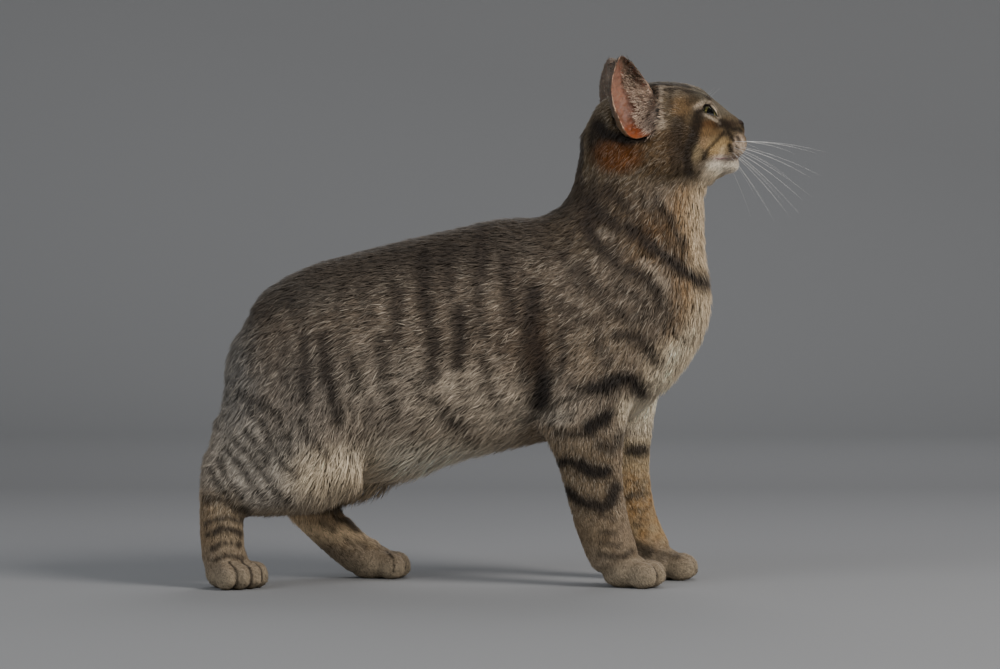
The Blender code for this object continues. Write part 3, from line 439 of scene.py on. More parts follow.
def ground_colours(points, view):
    """The coat's colour without its dark marks."""
    body = in_body(points)
    px, py = view[:, 0], view[:, 1]
    height = body[:, 2]
    leg = height < 0.108
    top_line = np.interp(px, (200, 230, 260, 300, 345, 400, 450, 500, 550, 575, 600, 650, 710),
                         (380, 340, 300, 272, 258, 243, 232, 219, 218, 180, 110, 82, 86))
    below_top = py - top_line
    saddle = (1 - ease(15, 75, below_top)) * (px < 620)
    colours = mix(AGOUTI, SADDLE, 0.85 * saddle)
    under = ease(0.053, 0.030, np.abs(body[:, 1])) * ease(0.118, 0.085, height) * (body[:, 0] < 0.06)
    colours = mix(colours, CREAM, 0.7 * under * (px > 280))
    colours = layered(colours, view, GROUND, 0.7, ~(leg & (px > 530)))
    # throat and chest
    front = np.interp(py, (165, 180, 200, 230, 262, 290, 310, 330, 350, 370, 390, 410, 440),
                      (722, 712, 707, 705, 707, 711, 714, 709, 696, 681, 669, 656, 652))
    inwards = front - px
    colours = mix(colours, WARM, 0.85 * (1 - ease(10, 52, inwards)) * ease(176, 196, py) * ~leg)
    # The lower chest's cream rises to a bright cream, partly painted light lifting the shade on the
    # underside.
    lower = ease(280, 360, py)
    edge = 0.9 * (1 - ease(7 + 5 * lower, 28 + 17 * lower, inwards)) * ease(165, 180, py)
    colours = mix(colours, mix(CREAM, (1.0, 0.86, 0.64), lower), edge)
    facing = np.clip((body[:, 0] - 0.085) / 0.03, 0, 1) * ease(0.030, 0.012, np.abs(body[:, 1]))
    colours = mix(colours, CREAM, 0.6 * facing * (height > 0.12) * (height < 0.27))
    return colours, below_top, leg


def limb_colours(points, view, left_leg):
    """The legs' colour: near and far legs, the paws, and small dark spots."""
    body = in_body(points)
    px, height = view[:, 0], body[:, 2]
    near = mix(TAN, (0.31, 0.225, 0.145), ease(605, 622, px) * (px < 640))
    near = mix(near, (0.36, 0.27, 0.17), (px < 300))
    near = mix(near, (0.25, 0.16, 0.085), 0.6 * (1 - ease(208, 222, px)) * (height > 0.02))
    # The far hind leg's colours are raised well above the near leg's to lift the shade it lies in: painted
    # light over its own colour.
    far = mix((0.90, 0.66, 0.40), (0.50, 0.335, 0.185), ease(0.030, 0.046, height))
    fore = body[:, 0] > 0.02
    far = mix(far, (0.48, 0.36, 0.21), fore)
    far = mix(far, ORANGE, fore * ease(0.088, 0.060, height) * (0.65 + 0.35 * drift(points, 0.012, 33)))
    limb = np.where(left_leg[:, None], far, near)
    dusky = 0.7 * ease(0.1, 0.7, drift(points, 0.009, 31)) * ease(0.012, 0.022, height)
    paw = mix(PAW, (0.20, 0.14, 0.085), dusky)
    paw = mix(paw, (0.43, 0.345, 0.235), 0.7 * ease(0.018, 0.006, height))
    limb = mix(limb, paw, ease(0.034, 0.018, height))
    spots = ease(0.45, 0.9, drift(points, 0.010, 32)) * (height > 0.02) * (height < 0.07)
    return mix(limb, (0.115, 0.072, 0.040), 0.45 * spots)


def crown(points, face, body, px, py):
    """Lengthways lines on the brow and the top of the head, seen from the front and above."""
    wide = np.abs(body[:, 1])
    top = ease(0.017, 0.010, wide) * (px > 612) * ease(122, 108, py)
    face = mix(face, (0.165, 0.130, 0.086), 0.75 * top)
    wave = 0.0012 * drift(points, 0.02, 51)
    lines = np.zeros(len(points))
    for place, half in ((0.0034, 0.0011), (0.0098, 0.0015), (0.0160, 0.0013)):
        spread = place * (1 + 0.35 * ease(0.13, 0.09, body[:, 0]))
        lines = np.maximum(lines, ease(half * 1.9, half * 0.5, np.abs(wide + wave - spread)))
    return mix(face, FACE_BAR_AND_SHADOW, 0.65 * lines * (px > 612) * (px < 712) * ease(112, 98, py))


def coat_colours(points):
    """The coat's colour at each row-frame point, the same for the skin and for the tufts over it."""
    body = in_body(points)
    fold = side_view(points)
    view, fine, rough = (noisy_view(points, fold, amount) for amount in (1.6, 0.45, 0.9))
    far = noisy_view(points, side_view(points, fold=False), 1.2)
    px, py = view[:, 0], view[:, 1]
    height = body[:, 2]
    left_leg = (body[:, 1] > 0.004) & (height < 0.098)
    colours, below_top, leg = ground_colours(points, view)
    low = np.interp(px, (232, 250), (0.056, 0.043))
    share = ease(0.118, 0.085, height) * (px > 520) + ease(low + 0.015, low, height) * (px <= 520)
    colours = mix(colours, limb_colours(points, view, left_leg), share)
    on_face = ease(196, 172, py) * (px > 582) * (height > 0.24)
    face = layered((0.130, 0.090, 0.049), fine, FACE, 0.45)
    colours = mix(colours, crown(points, face, body, px, py), on_face)
    # drawn strokes
    trunk = ~(left_leg | (height < 0.045)) & (height < 0.275)
    dark = np.maximum.reduce([
        strongest(view, BODY_STROKES, 1.2, 0.9) * trunk,
        strongest(rough, NEAR_LEG_STROKES, 1.1) * ~left_leg,
        strongest(far, FAR_LEG_STROKES, 1.1) * left_leg,
        strongest(fine, FACE_STROKES) * (height > 0.26),
    ])
    colours = mix(colours, (0.62, 0.50, 0.37), strongest(fine, PALE_STROKES))
    # faint broken stripes between the drawn ones
    wave = np.sin((px + 0.10 * (py - 300) + 5 * drift(points, 0.05, 8)) * 2 * math.pi / 24)
    broken = ease(0.25, 0.9, wave + 0.7 * drift(points, 0.03, 9)) * trunk * ~leg * (px > 270) * (px < 620)
    dark = np.maximum(dark, 0.40 * broken * ease(10, 60, below_top) * ease(470, 430, py))
    mark_and_shadow = np.where((trunk & (py < 375))[:, None], STRIPE, BAR)
    # Face strokes take the face's dark colour, the painted shadow under the ear among them.
    mark_and_shadow = np.where((on_face > 0.5)[:, None], FACE_BAR_AND_SHADOW, mark_and_shadow)
    colours = colours * (1 - dark[:, None]) + mark_and_shadow * dark[:, None]
    for x, y, wide, high, *gain in EVENED:
        here = patch(view, (x, y), (wide, high), 0.6)
        colours = colours * (1 + (np.array(gain) / 100 - 1) * here[:, None])
    lips = stroke(fold, (714, 159.5, 728, 160, 743, 156), 1.3) * (height > 0.28)
    colours = mix(colours, (0.34, 0.22, 0.20), 0.5 * lips)
    return np.clip(colours, 0.004, 1)


def toe_cleft_shade(points):
    """1 in the clefts between the toes, where shade is painted."""
    body = in_body(points)
    found = np.zeros(len(points))
    for (x, y), degrees in PAWS:
        a = math.radians(degrees)
        away = body[:, :2] - np.array((x, y))
        ahead = away[:, 0] * math.cos(a) + away[:, 1] * math.sin(a)
        across = -away[:, 0] * math.sin(a) + away[:, 1] * math.cos(a)
        here = (ahead > 0.012) & (ahead < 0.034) & (np.abs(across) < 0.024) & (body[:, 2] < 0.020)
        for cleft, splay in ((0.0, 0.0), (0.0094, 0.12), (-0.0094, -0.12)):
            line = np.abs(across - cleft - splay * (ahead - 0.012))
            found = np.maximum(found, here * (1 - ease(0.0006, 0.0018, line)))
    return found


# The lie of the coat: x, y, z in the body's frame in mm, the way it lies in hundredths, reach in mm
LIE = (
    (150, 0, 317, -75, 0, 60, 10), (140, 6, 328, -85, 10, 50, 10), (125, 6, 338, -100, 10, 15, 14),
    (100, 10, 342, -100, 10, -5, 16), (70, 10, 334, -80, 0, -60, 16), (55, 10, 310, -40, 0, -90, 18),
    (45, 10, 280, -45, 0, -90, 20), (30, 10, 258, -85, 0, -50, 20), (150, 12, 302, -75, 65, -15, 8),
    (140, 18, 302, -90, 35, -20, 9), (125, 28, 300, -95, 20, -30, 12), (105, 36, 300, -85, 0, -50, 14),
    (85, 36, 285, -60, 0, -80, 16), (115, 30, 325, -90, 30, 35, 10), (100, 34, 320, -90, 20, 10, 10),
    (148, 4, 284, -90, 20, -35, 8), (132, 6, 272, -90, 10, -45, 10), (125, 5, 255, -15, 0, -100, 18),
    (130, 5, 220, 5, 0, -100, 22), (135, 5, 185, -15, 0, -100, 22), (115, 5, 145, -65, 0, -75, 22),
    (85, 36, 250, -55, 0, -85, 22), (75, 40, 215, -65, 0, -80, 24), (85, 40, 170, -50, 0, -90, 24),
    (40, 45, 200, -85, 0, -55, 26), (45, 45, 150, -70, 0, -80, 24), (0, 20, 245, -100, 0, -10, 28),
    (-50, 20, 238, -100, 0, -15, 28), (-110, 20, 220, -95, 0, -30, 28), (-160, 15, 195, -70, 0, -75, 24),
    (-188, 10, 150, -25, 0, -100, 22), (0, 50, 190, -95, 0, -35, 28), (-50, 52, 180, -95, 0, -35, 28),
    (-100, 55, 170, -90, 0, -45, 28), (0, 45, 130, -85, 0, -60, 26), (-50, 45, 120, -80, 0, -65, 26),
    (-20, 10, 85, -85, 0, -50, 24), (-70, 10, 70, -85, 0, -50, 24), (-150, 50, 140, -60, 0, -80, 24),
    (-110, 52, 110, -40, 0, -95, 22), (-150, 55, 100, -55, 0, -85, 22), (-115, 50, 75, -25, 0, -100, 18),
    (-180, 48, 75, -70, 0, -75, 16), (-150, 45, 60, -75, 0, -65, 16), (55, 45, 100, 5, 0, -100, 20),
    (57, 45, 60, 15, 0, -100, 18), (80, 45, 80, 5, 0, -100, 18), (65, 40, 35, 30, 0, -95, 12),
    (90, 40, 35, 40, 0, -90, 12), (-194, 40, 45, 5, 0, -100, 12), (-140, 40, 50, 50, 0, -80, 12),
    (-115, 40, 25, 80, 0, -55, 12), (85, 30, 15, 95, 0, -35, 10), (110, 30, 15, 95, 0, -35, 10),
    (-185, 35, 15, 70, 50, -35, 10), (-90, 40, 15, 95, 0, -35, 10),
)


def lie_of_coat(points, outwards):
    """The way each hair lies, along the surface."""
    body = in_body(points)
    side = np.where(body[:, 1] >= 0, 1.0, -1.0)
    flat = np.stack([body[:, 0], np.abs(body[:, 1]), body[:, 2]], 1)
    total = np.zeros_like(points)
    for x, y, z, *way, reach in LIE:
        away = ((flat - np.array((x, y, z)) / 1000) ** 2).sum(1) / (reach / 1000) ** 2
        total += np.exp(-0.5 * np.minimum(away, 60))[:, None] * unit(np.array([way]) / 100)[0] + 1e-12
    total[:, 1] *= side
    return unit(laid(unit(total), outwards))


# How long the coat is: x and y on the side view, length in mm, reach on the side view
LENGTHS = (
    (735, 140, 1.8, 14), (715, 135, 3.2, 14), (700, 150, 5, 16), (700, 95, 2.6, 14), (735, 165, 3, 12),
    (715, 175, 5.5, 14), (704, 194, 8, 9), (658, 114, 9, 7), (711, 180, 10.2, 8), (725, 112, 1.7, 12),
    (675, 86, 5.8, 14), (670, 95, 4.2, 16), (650, 130, 5.5, 20), (620, 150, 4, 18), (600, 130, 6, 18),
    (590, 180, 8, 26), (650, 190, 9, 26), (695, 210, 9, 26), (640, 260, 10.5, 30), (700, 290, 10, 24),
    (600, 320, 10, 36), (540, 240, 9, 36), (460, 250, 9.5, 40), (350, 280, 9.5, 40), (260, 320, 9.5, 34),
    (215, 390, 9, 26), (460, 340, 11, 40), (350, 350, 11, 40), (280, 400, 10, 34), (500, 420, 12, 30),
    (430, 455, 16.5, 26), (380, 465, 16, 22), (335, 485, 13.5, 20), (270, 480, 8, 24), (225, 470, 7, 20),
    (590, 380, 8.5, 26), (660, 380, 9, 22), (585, 430, 6, 20), (590, 480, 5, 20), (600, 530, 4.2, 20),
    (635, 470, 5, 18), (645, 530, 4.2, 18), (225, 530, 4.2, 18), (325, 530, 4.5, 18), (630, 570, 3, 14),
    (680, 565, 3, 14), (235, 572, 3, 14), (385, 560, 3, 14),
)


def coat_length(points):
    """Length of the hair in metres."""
    low = in_body(points)[:, 2:] < 0.1
    view = np.where(low, side_view(points, fold=False), side_view(points))
    total, weight = np.zeros(len(points)), np.zeros(len(points))
    for x, y, length, reach in LENGTHS:
        away = ((view - np.array((x, y))) ** 2).sum(1) / reach**2
        w = np.exp(-0.5 * np.minimum(away, 80)) + 1e-14
        total += w * length
        weight += w
    return total / weight / 1000


# The skin

def strip_whiskers(bm):
    """Takes the whiskers off a copy of the muzzle and closes the small holes they leave."""
    back = head_turn().inverted()
    gone = []
    for vertex in bm.verts:
        x, y, _ = back @ vertex.co
        if x > 0.149 and ((x - 0.140) / 0.0225) ** 4 + (y / 0.0205) ** 4 > 1:
            gone.append(vertex)
    bmesh.ops.delete(bm, geom=gone, context="VERTS")
    bmesh.ops.holes_fill(bm, edges=[edge for edge in bm.edges if edge.is_boundary], sides=0)


def flesh():
    """Every node of flesh in one mesh, each a little fuller so that they overlap."""
    whole = bmesh.new()
    for name in FLESH:
        part = bmesh.new()
        part.from_mesh(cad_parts[name].data)
        bmesh.ops.remove_doubles(part, verts=part.verts, dist=1e-6)
        if name == "muzzle":
            strip_whiskers(part)
        part.normal_update()
        for vertex in part.verts:
            vertex.co += vertex.normal * 0.0004
        mesh = bpy.data.meshes.new(name)
        part.to_mesh(mesh)
        part.free()
        whole.from_mesh(mesh)
        bpy.data.meshes.remove(mesh)
    for side in (1, -1):
        ball = Matrix.Diagonal((EYE_RADIUS + 0.0014,) * 3 + (1,))
        bmesh.ops.create_icosphere(whole, subdivisions=4, radius=1, matrix=eye_frame(side) @ ball)
    nose = Matrix.Translation(NOSE_CENTRE) @ Matrix.Diagonal((*(r * 0.98 for r in NOSE_RADII), 1))
    bmesh.ops.create_icosphere(whole, subdivisions=3, radius=1, matrix=head_turn() @ nose)
    return from_bmesh("skin", whole)


def soften(mesh, weight, rounds):
    """Moves each vertex towards the middle of its neighbours."""
    ends = read_rows(mesh.edges, "vertices", 2, np.int64)
    points = places(mesh)
    number = np.bincount(ends.ravel(), minlength=len(points)).astype(float)
    for _ in range(rounds):
        total = np.zeros_like(points)
        for axis in range(3):
            total[:, axis] = np.bincount(ends[:, 0], points[ends[:, 1], axis], len(points))
            total[:, axis] += np.bincount(ends[:, 1], points[ends[:, 0], axis], len(points))
        middle = total / np.maximum(number, 1)[:, None]
        points += (middle - points) * 0.6 * weight[:, None]
    move_to(mesh, points)


def trim_rump(mesh):
    """Rounds the rump to the outline in the side view."""
    body = in_body(places(mesh))
    limit = np.interp(body[:, 2], RUMP_HEIGHTS, RUMP_OUTLINE, left=-1, right=-1) + RUMP_COAT
    body[:, 0] = np.maximum(body[:, 0], limit)
    move_to(mesh, body + np.array(SHIFT))


def build_skin():
    """One skin over all the flesh, softened, drawn in by the depth of the coat and thinned."""
    skin = flesh()
    remesh = skin.modifiers.new("grain", "REMESH")
    remesh.mode = "VOXEL"
    remesh.voxel_size = GRAIN
    applied(skin)
    mesh = skin.data
    trim_rump(mesh)
    body = in_body(places(mesh))
    on_face = ease(0.255, 0.285, body[:, 2]) * ease(0.05, 0.09, body[:, 0])
    muzzle = ease(0.130, 0.142, body[:, 0]) * on_face
    paws = ease(0.040, 0.022, body[:, 2])
    soften(mesh, 1 - 0.55 * on_face - 0.35 * muzzle - 0.80 * paws, 12)
    # in by the depth of the coat
    points, outwards = places(mesh), normals(mesh)
    length, lift = coat_length(points), stand(points, outwards)
    depth = length * (TUFT_LOWER * np.sin(lift) + TUFT_UPPER * np.sin(UPPER_LEAN * lift)) * 0.92 + 0.0002
    fuller = 0.30 + 0.45 * ease(0.04, 0.01, points[:, 0])
    depth *= 1 - fuller * ease(0.2, 0.8, outwards[:, 2]) * (points[:, 2] > 0.15)
    fold = side_view(points)
    for centre, radii in (((706, 183), (10, 10)), ((682, 84), (34, 9)), ((722, 172), (22, 8))):
        depth *= 1 - 0.9 * patch(fold, centre, radii)
    depth -= 0.0016 * patch(fold, (708, 182), (10, 7)) + 0.0014 * patch(fold, (720, 176), (9, 6))
    depth *= ease(0.0015, 0.010, in_body(points)[:, 2])
    for side in (1, -1):
        depth *= ease(0.6, 1.6, guard(points, eye_frame(side), EYE_GUARD)) * 0.85 + 0.15
        cup, up = in_ear_cup(points, side)
        depth *= 1 - 0.9 * ease(1.7, 1.1, cup) * (up > -0.58)
        depth += 0.0012 * (cup < 1.12) * (up > -0.60)
    depth *= ease(1.0, 1.6, guard(points, head_turn(), (0.006, 0.0074, 0.0052), NOSE_CENTRE))
    move_to(mesh, points - outwards * depth[:, None])
    soften(mesh, np.full(len(points), 0.5) * (1 - 0.5 * paws), 2)
    thin = skin.modifiers.new("thin", "DECIMATE")
    thin.ratio = SKIN_TRIANGLES / (2 * len(mesh.polygons))
    applied(skin)
    skin.data.name = "skin"
    return skin


def lens(side):
    """The almond opening between the lids as a closed prism along the gaze."""
    half, steps = OPENING_LENGTH / 2, 24
    angles = [math.pi * i / steps for i in range(steps + 1)]
    upper = [(half * math.cos(a), UPPER_OPENING * math.sin(a) ** 0.9) for a in angles]
    lower = [(y, -z * LOWER_OPENING / UPPER_OPENING) for y, z in reversed(upper[1:-1])]
    bm = bmesh.new()
    face = bm.faces.new([bm.verts.new((0.35 * EYE_RADIUS, y, z)) for y, z in upper + lower])
    pushed = bmesh.ops.extrude_face_region(bm, geom=[face])["geom"]
    moved = [v for v in pushed if isinstance(v, bmesh.types.BMVert)]
    bmesh.ops.translate(bm, vec=(2.2 * EYE_RADIUS, 0, 0), verts=moved)
    bmesh.ops.recalc_face_normals(bm, faces=bm.faces)
    bmesh.ops.transform(bm, matrix=eye_frame(side), verts=bm.verts)
    return from_bmesh("lens", bm)


def open_lids(skin):
    """Cuts both eye openings through the skin."""
    for side in (1, -1):
        cutter = lens(side)
        cut = skin.modifiers.new("opening", "BOOLEAN")
        cut.operation = "DIFFERENCE"
        cut.object = cutter
        cut.solver = "MANIFOLD"
        applied(skin)
        bpy.data.objects.remove(cutter, do_unlink=True)
    bm = bmesh.new()
    bm.from_mesh(skin.data)
    bmesh.ops.remove_doubles(bm, verts=bm.verts, dist=1e-6)
    bmesh.ops.triangulate(bm, faces=bm.faces)
    bm.to_mesh(skin.data)
    bm.free()


# Tufts

def scatter(mesh, wanted, chance):
    """Random places on a triangle mesh, crowded by chance, with their normals."""
    mesh.calc_loop_triangles()
    corners = read_rows(mesh.loop_triangles, "vertices", 3, np.int32)
    points, outwards = places(mesh), normals(mesh)
    a, b, c = (points[corners[:, k]] for k in range(3))
    area = np.linalg.norm(np.cross(b - a, c - a), axis=1) / 2
    weight = area * chance((a + b + c) / 3)
    pick = np.searchsorted(np.cumsum(weight) / weight.sum(), CHANCE.random(wanted))
    pick = np.minimum(pick, len(corners) - 1)
    u, v = CHANCE.random(wanted), CHANCE.random(wanted)
    flip = u + v > 1
    u[flip], v[flip] = 1 - u[flip], 1 - v[flip]
    share = np.stack([1 - u - v, u, v], 1)[:, :, None]
    return (points[corners[pick]] * share).sum(1), unit((outwards[corners[pick]] * share).sum(1))


def stand(points, out):
    """How far the hair stands up from the skin, in radians."""
    height = points[:, 2]
    lift = 0.36 + 0.48 * ease(0.0, -0.7, out[:, 2]) * ease(0.040, 0.050, height) * ease(0.26, 0.22, height)
    lift += 0.25 * ease(-0.3, -0.8, out[:, 2]) * ease(0.06, 0.08, height) * (height < 0.13)
    lift += 0.10 * ease(0.3, 0.9, out[:, 0]) * ease(0.12, 0.15, height) * ease(0.27, 0.24, height)
    lift += 0.50 * patch(side_view(points), (711, 180), (17, 12))
    return lift - 0.08 * ease(0.26, 0.29, height) - 0.06 * ease(0.06, 0.03, height)


def tuft_mesh(name, roots, out, along, length, width, colours, uv, lift, rough):
    """Joined closed tufts, pointed at both ends, bent where they are widest."""
    count = len(roots)
    side = np.cross(out, along)
    start = roots - out * 0.0006
    middle = start + leaning(out, along, lift) * (TUFT_LOWER * length)[:, None]
    points = np.empty((count, 5, 3), np.float32)
    shading = np.empty((count, 5, 3), np.float32)
    half = width[:, None] * 0.5
    points[:, 0] = start
    points[:, 4] = middle + leaning(out, along, lift * UPPER_LEAN) * (TUFT_UPPER * length)[:, None]
    shading[:] = out[:, None]
    for k, (across, up) in enumerate(((-1.0, -0.2), (1.0, -0.2), (0.0, 0.5))):
        offset = side * across + out * up
        points[:, 1 + k] = middle + offset * half
        shading[:, 1 + k] += side * across * 0.45
    shading += CHANCE.normal(0, 1, (count, 1, 3)) * rough[:, None, None]
    shading /= np.linalg.norm(shading, axis=2)[:, :, None]
    faces = np.array(((0, 2, 1), (0, 3, 2), (0, 1, 3), (4, 1, 2), (4, 2, 3), (4, 3, 1)), np.int32)
    loops = (faces[None] + 5 * np.arange(count, dtype=np.int32)[:, None, None]).reshape(-1)
    mesh = bpy.data.meshes.new(name)
    mesh.vertices.add(count * 5)
    mesh.vertices.foreach_set("co", points.ravel())
    mesh.loops.add(len(loops))
    mesh.loops.foreach_set("vertex_index", loops)
    mesh.polygons.add(len(loops) // 3)
    mesh.polygons.foreach_set("loop_start", np.arange(0, len(loops), 3, dtype=np.int32))
    mesh.update(calc_edges=True)
    root_colour, middle_colour, tip_colour = colours
    shades = np.stack([root_colour, middle_colour, middle_colour, middle_colour, tip_colour], 1)
    paint(mesh, shades.reshape(-1, 3))
    corner = np.array(((0, -1), (-1, 0), (1, 0), (0, 0.3), (0, 1)), np.float32) * 0.0015
    layer = mesh.uv_layers.new(name="OFBake")
    spots = (uv[:, None] + corner[None]).reshape(-1, 2)
    layer.data.foreach_set("uv", spots[loops].astype(np.float32).ravel())
    smooth(mesh)
    mesh.normals_split_custom_set_from_vertices(shading.reshape(-1, 3).tolist())
    mesh.update()
    return new_object(name, mesh)


class Unwrap:
    """An unwrap of the skin's own shape, read at any place near it."""

    def __init__(self, skin):
        plain = skin.copy()
        plain.data = skin.data.copy()
        bpy.context.scene.collection.objects.link(plain)
        thin = plain.modifiers.new("thin", "DECIMATE")
        thin.ratio = 0.06
        applied(plain)
        bpy.context.view_layer.objects.active = plain
        plain.select_set(True)
        bpy.ops.object.mode_set(mode="EDIT")
        bpy.ops.mesh.select_all(action="SELECT")
        bpy.ops.uv.smart_project(angle_limit=math.radians(66), island_margin=0.004)
        bpy.ops.object.mode_set(mode="OBJECT")
        bm = bmesh.new()
        bm.from_mesh(plain.data)
        bmesh.ops.triangulate(bm, faces=bm.faces)
        bm.faces.ensure_lookup_table()
        layer = bm.loops.layers.uv.active
        self.corners = np.array([[tuple(loop.vert.co) for loop in face.loops] for face in bm.faces])
        self.flat = np.array([[tuple(loop[layer].uv) for loop in face.loops] for face in bm.faces])
        self.tree = BVHTree.FromBMesh(bm)
        bm.free()
        bpy.data.objects.remove(plain, do_unlink=True)

    def read(self, points):
        found = np.array([self.tree.find_nearest(Vector(p))[2] for p in points])
        a, b, c = (self.corners[found, k] for k in range(3))
        ab, ac, ap = b - a, c - a, points - a
        d00, d01, d11 = (ab * ab).sum(1), (ab * ac).sum(1), (ac * ac).sum(1)
        d20, d21 = (ap * ab).sum(1), (ap * ac).sum(1)
        base = np.maximum(d00 * d11 - d01 * d01, 1e-20)
        v = np.clip((d11 * d20 - d01 * d21) / base, 0, 1)
        w = np.clip((d00 * d21 - d01 * d20) / base, 0, 1)
        share = np.stack([1 - v - w, v, w], 1)[:, :, None]
        return (self.flat[found] * share).sum(1)


def crowding(points):
    """How many tufts an area gets: more where the hair is short."""
    length = coat_length(points) * 1000
    return 1.0 / (0.55 + 0.085 * length) ** 2


def bare(points):
    """True where no hair grows: nose, eyes, ear cups and soles."""
    none = points[:, 2] < 0.0022
    for side in (1, -1):
        local = through(eye_frame(side).inverted(), points)
        height = np.where(local[:, 2] > 0, UPPER_OPENING, LOWER_OPENING) + 0.0011
        away = (local[:, 1] / (OPENING_LENGTH / 2 + 0.0010)) ** 2 + (local[:, 2] / height) ** 2
        none |= (away < 1) & (local[:, 0] > 0)
        cup, up = in_ear_cup(points, side)
        none |= (cup < 1.04) & (up > -0.56)
    return none | (guard(points, head_turn(), (0.0058, 0.0066, 0.0046), NOSE_CENTRE) < 1)


def build_coat(skin, unwrap):
    """All the tufts over the skin as pieces with their slots, each slot's pieces from the rump forwards."""
    roots, out = scatter(skin.data, int(TUFTS * 1.06), crowding)
    keep = ~bare(roots)
    roots, out = roots[keep][:TUFTS], out[keep][:TUFTS]
    count = len(roots)
    along = lie_of_coat(roots, out)
    side = np.cross(out, along)
    yaw = 0.26 * drift(roots, 0.010, 21) + 0.18 * drift(roots, 0.0040, 22) + CHANCE.normal(0, 0.15, count)
    along = unit(leaning(side, along, yaw))
    length = coat_length(roots) * CHANCE.uniform(0.70, 1.15, count)
    lift = stand(roots, out) + 0.08 * drift(roots, 0.006, 23) + CHANCE.normal(0, 0.08, count)
    width = 0.00027 + 0.000034 * length * 1000 * CHANCE.uniform(0.7, 1.3, count)
    # short round the eyes, and clear of the floor
    for eye in (1, -1):
        near = ease(2.4, 1.1, guard(roots, eye_frame(eye), EYE_GUARD))
        length *= 1 - 0.55 * near
        lift *= 1 - 0.45 * near
    reach = roots[:, 2] + along[:, 2] * length
    length = np.where(reach < 0.0012, np.maximum(length * 0.4, 0.0012), length)
    middle = coat_colours(roots + leaning(out, along, lift) * (0.5 * length)[:, None])
    tip = coat_colours(roots + along * (0.92 * length)[:, None] + out * (0.25 * length)[:, None])
    # The toe clefts get painted shade on the tufts.
    middle, tip = (mix(colour, CLEFT_SHADE, 0.85 * toe_cleft_shade(roots)) for colour in (middle, tip))
    muzzle = ease(0.268, 0.285, roots[:, 2]) * ease(0.096, 0.118, roots[:, 0])
    furry = ease(0.035, 0.060, roots[:, 2]) * (1 - 0.6 * muzzle)
    rough = 0.03 + 0.11 * furry
    # Roots darker than the middles: partly the hair's own darker base, partly painted shade deep in the
    # coat.
    base = (0.80 - 0.30 * furry)[:, None]
    shade = CHANCE.normal(0, 1, count) * (0.05 + 0.12 * furry) + 0.14 * furry * drift(roots, 0.005, 24)
    shade = np.exp(shade)[:, None]
    tick = CHANCE.random(count)
    bright = middle.mean(1)
    agouti = ease(0.030, 0.10, bright) * (1 - ease(0.45, 0.65, bright)) * furry
    pale_hair = (tick < 0.22) * agouti
    tip = mix(tip * 1.05, (0.66, 0.57, 0.45), 0.42 * pale_hair) * shade
    tip = mix(tip, (0.040, 0.030, 0.021), 0.40 * (tick > 0.82) * agouti)
    middle = mix(middle * 0.94, (0.60, 0.51, 0.39), 0.24 * pale_hair) * shade
    uv = unwrap.read(roots)
    pale = (middle.mean(1) > 0.34) & (roots[:, 2] > 0.1)
    limb = (roots[:, 2] < 0.085) & ((roots[:, 0] > 0.01) | (roots[:, 2] < 0.055))
    zone = np.where(pale, 2, np.where(limb, 1, 0))
    pieces = []
    for number, slot in enumerate(("coat_back", "coat_limb", "coat_pale")):
        here = np.nonzero(zone == number)[0]
        here = here[np.argsort(roots[here, 0], kind="stable")]
        for share in np.array_split(here, math.ceil(len(here) / TUFTS_A_PIECE)):
            shades = (middle[share] * base[share], middle[share], tip[share])
            shape = (part[share] for part in (roots, out, along, length, width))
            name = f"{slot}_{len(pieces) + 1}"
            pieces.append((tuft_mesh(name, *shape, shades, uv[share], lift[share], rough[share]), slot))
    return pieces


# Ears

def ear_axes(side):
    """The ear's base, its way to the tip, the way it faces and the way across, in the head's frame."""
    line = [np.array(p) * np.array((1, side, 1)) for _, p in EAR_LINE]
    base, tip = line[1], line[2]
    length = np.linalg.norm(tip - base)
    axis = (tip - base) / length
    faces = np.array(EAR_FACES) * np.array((1, side, 1))
    faces = faces - axis * (faces @ axis)
    faces = faces / np.linalg.norm(faces)
    return base, axis, faces, np.cross(axis, faces) * side, length


def ear_line(t):
    """The middle line of the ear at each t, a smooth curve through the three places of EAR_LINE."""
    t = np.atleast_1d(t)[:, None]
    total = 0
    for knot, place in EAR_LINE:
        shares = [(t - other) / (knot - other) for other, _ in EAR_LINE if other != knot]
        total = total + np.array(place) * np.prod(shares, axis=0)
    return total


def in_ear_cup(points, side):
    """How far each point is from the ear's middle line, 1 at the cup's own edge, and how far up the ear."""
    base, axis, faces, across, length = ear_axes(side)
    local = through(head_turn().inverted(), points)
    up = np.clip((local - base) @ axis / length, -0.6, 1.0)
    away = local - ear_line(up) * np.array((1, side, 1))
    wide = np.interp(up, [-0.6, -0.5, -0.3, 0.0, 0.5, 1.0], [0.001, 0.004, 0.015, 0.0194, 0.0165, 0.002])
    back, front = away @ faces, np.abs(away @ across)
    deep = np.where(back < 0, 0.0155, 0.012) * wide / 0.0194
    return np.sqrt((front / wide) ** 2 + (back / deep) ** 2), up


def ear_places(points, side):
    """Row-frame points as (share of the way to the tip, across, outwards), the last two in metres."""
    base, axis, faces, across, length = ear_axes(side)
    local = through(head_turn().inverted(), points) - base
    return (local @ axis) / length, local @ across, local @ faces


def ear_size(t):
    """Half width and depth of the cup inside, and how far its middle leans back, at t along the ear."""
    lowest = EAR_LINE[0][0]
    up, down = max(t, 0.0), min(t / lowest, 1.0) if t < 0 else 0.0
    closing = (1 - down**2.5) ** 0.5
    width = EAR_HALF_WIDTH * (1 - up**2.2) ** 0.8 * closing + 0.0008
    depth = EAR_DEPTH * (1 - up) ** 0.7 * closing + 0.0006
    return width, depth, -0.0030 * math.sin(math.pi * up)


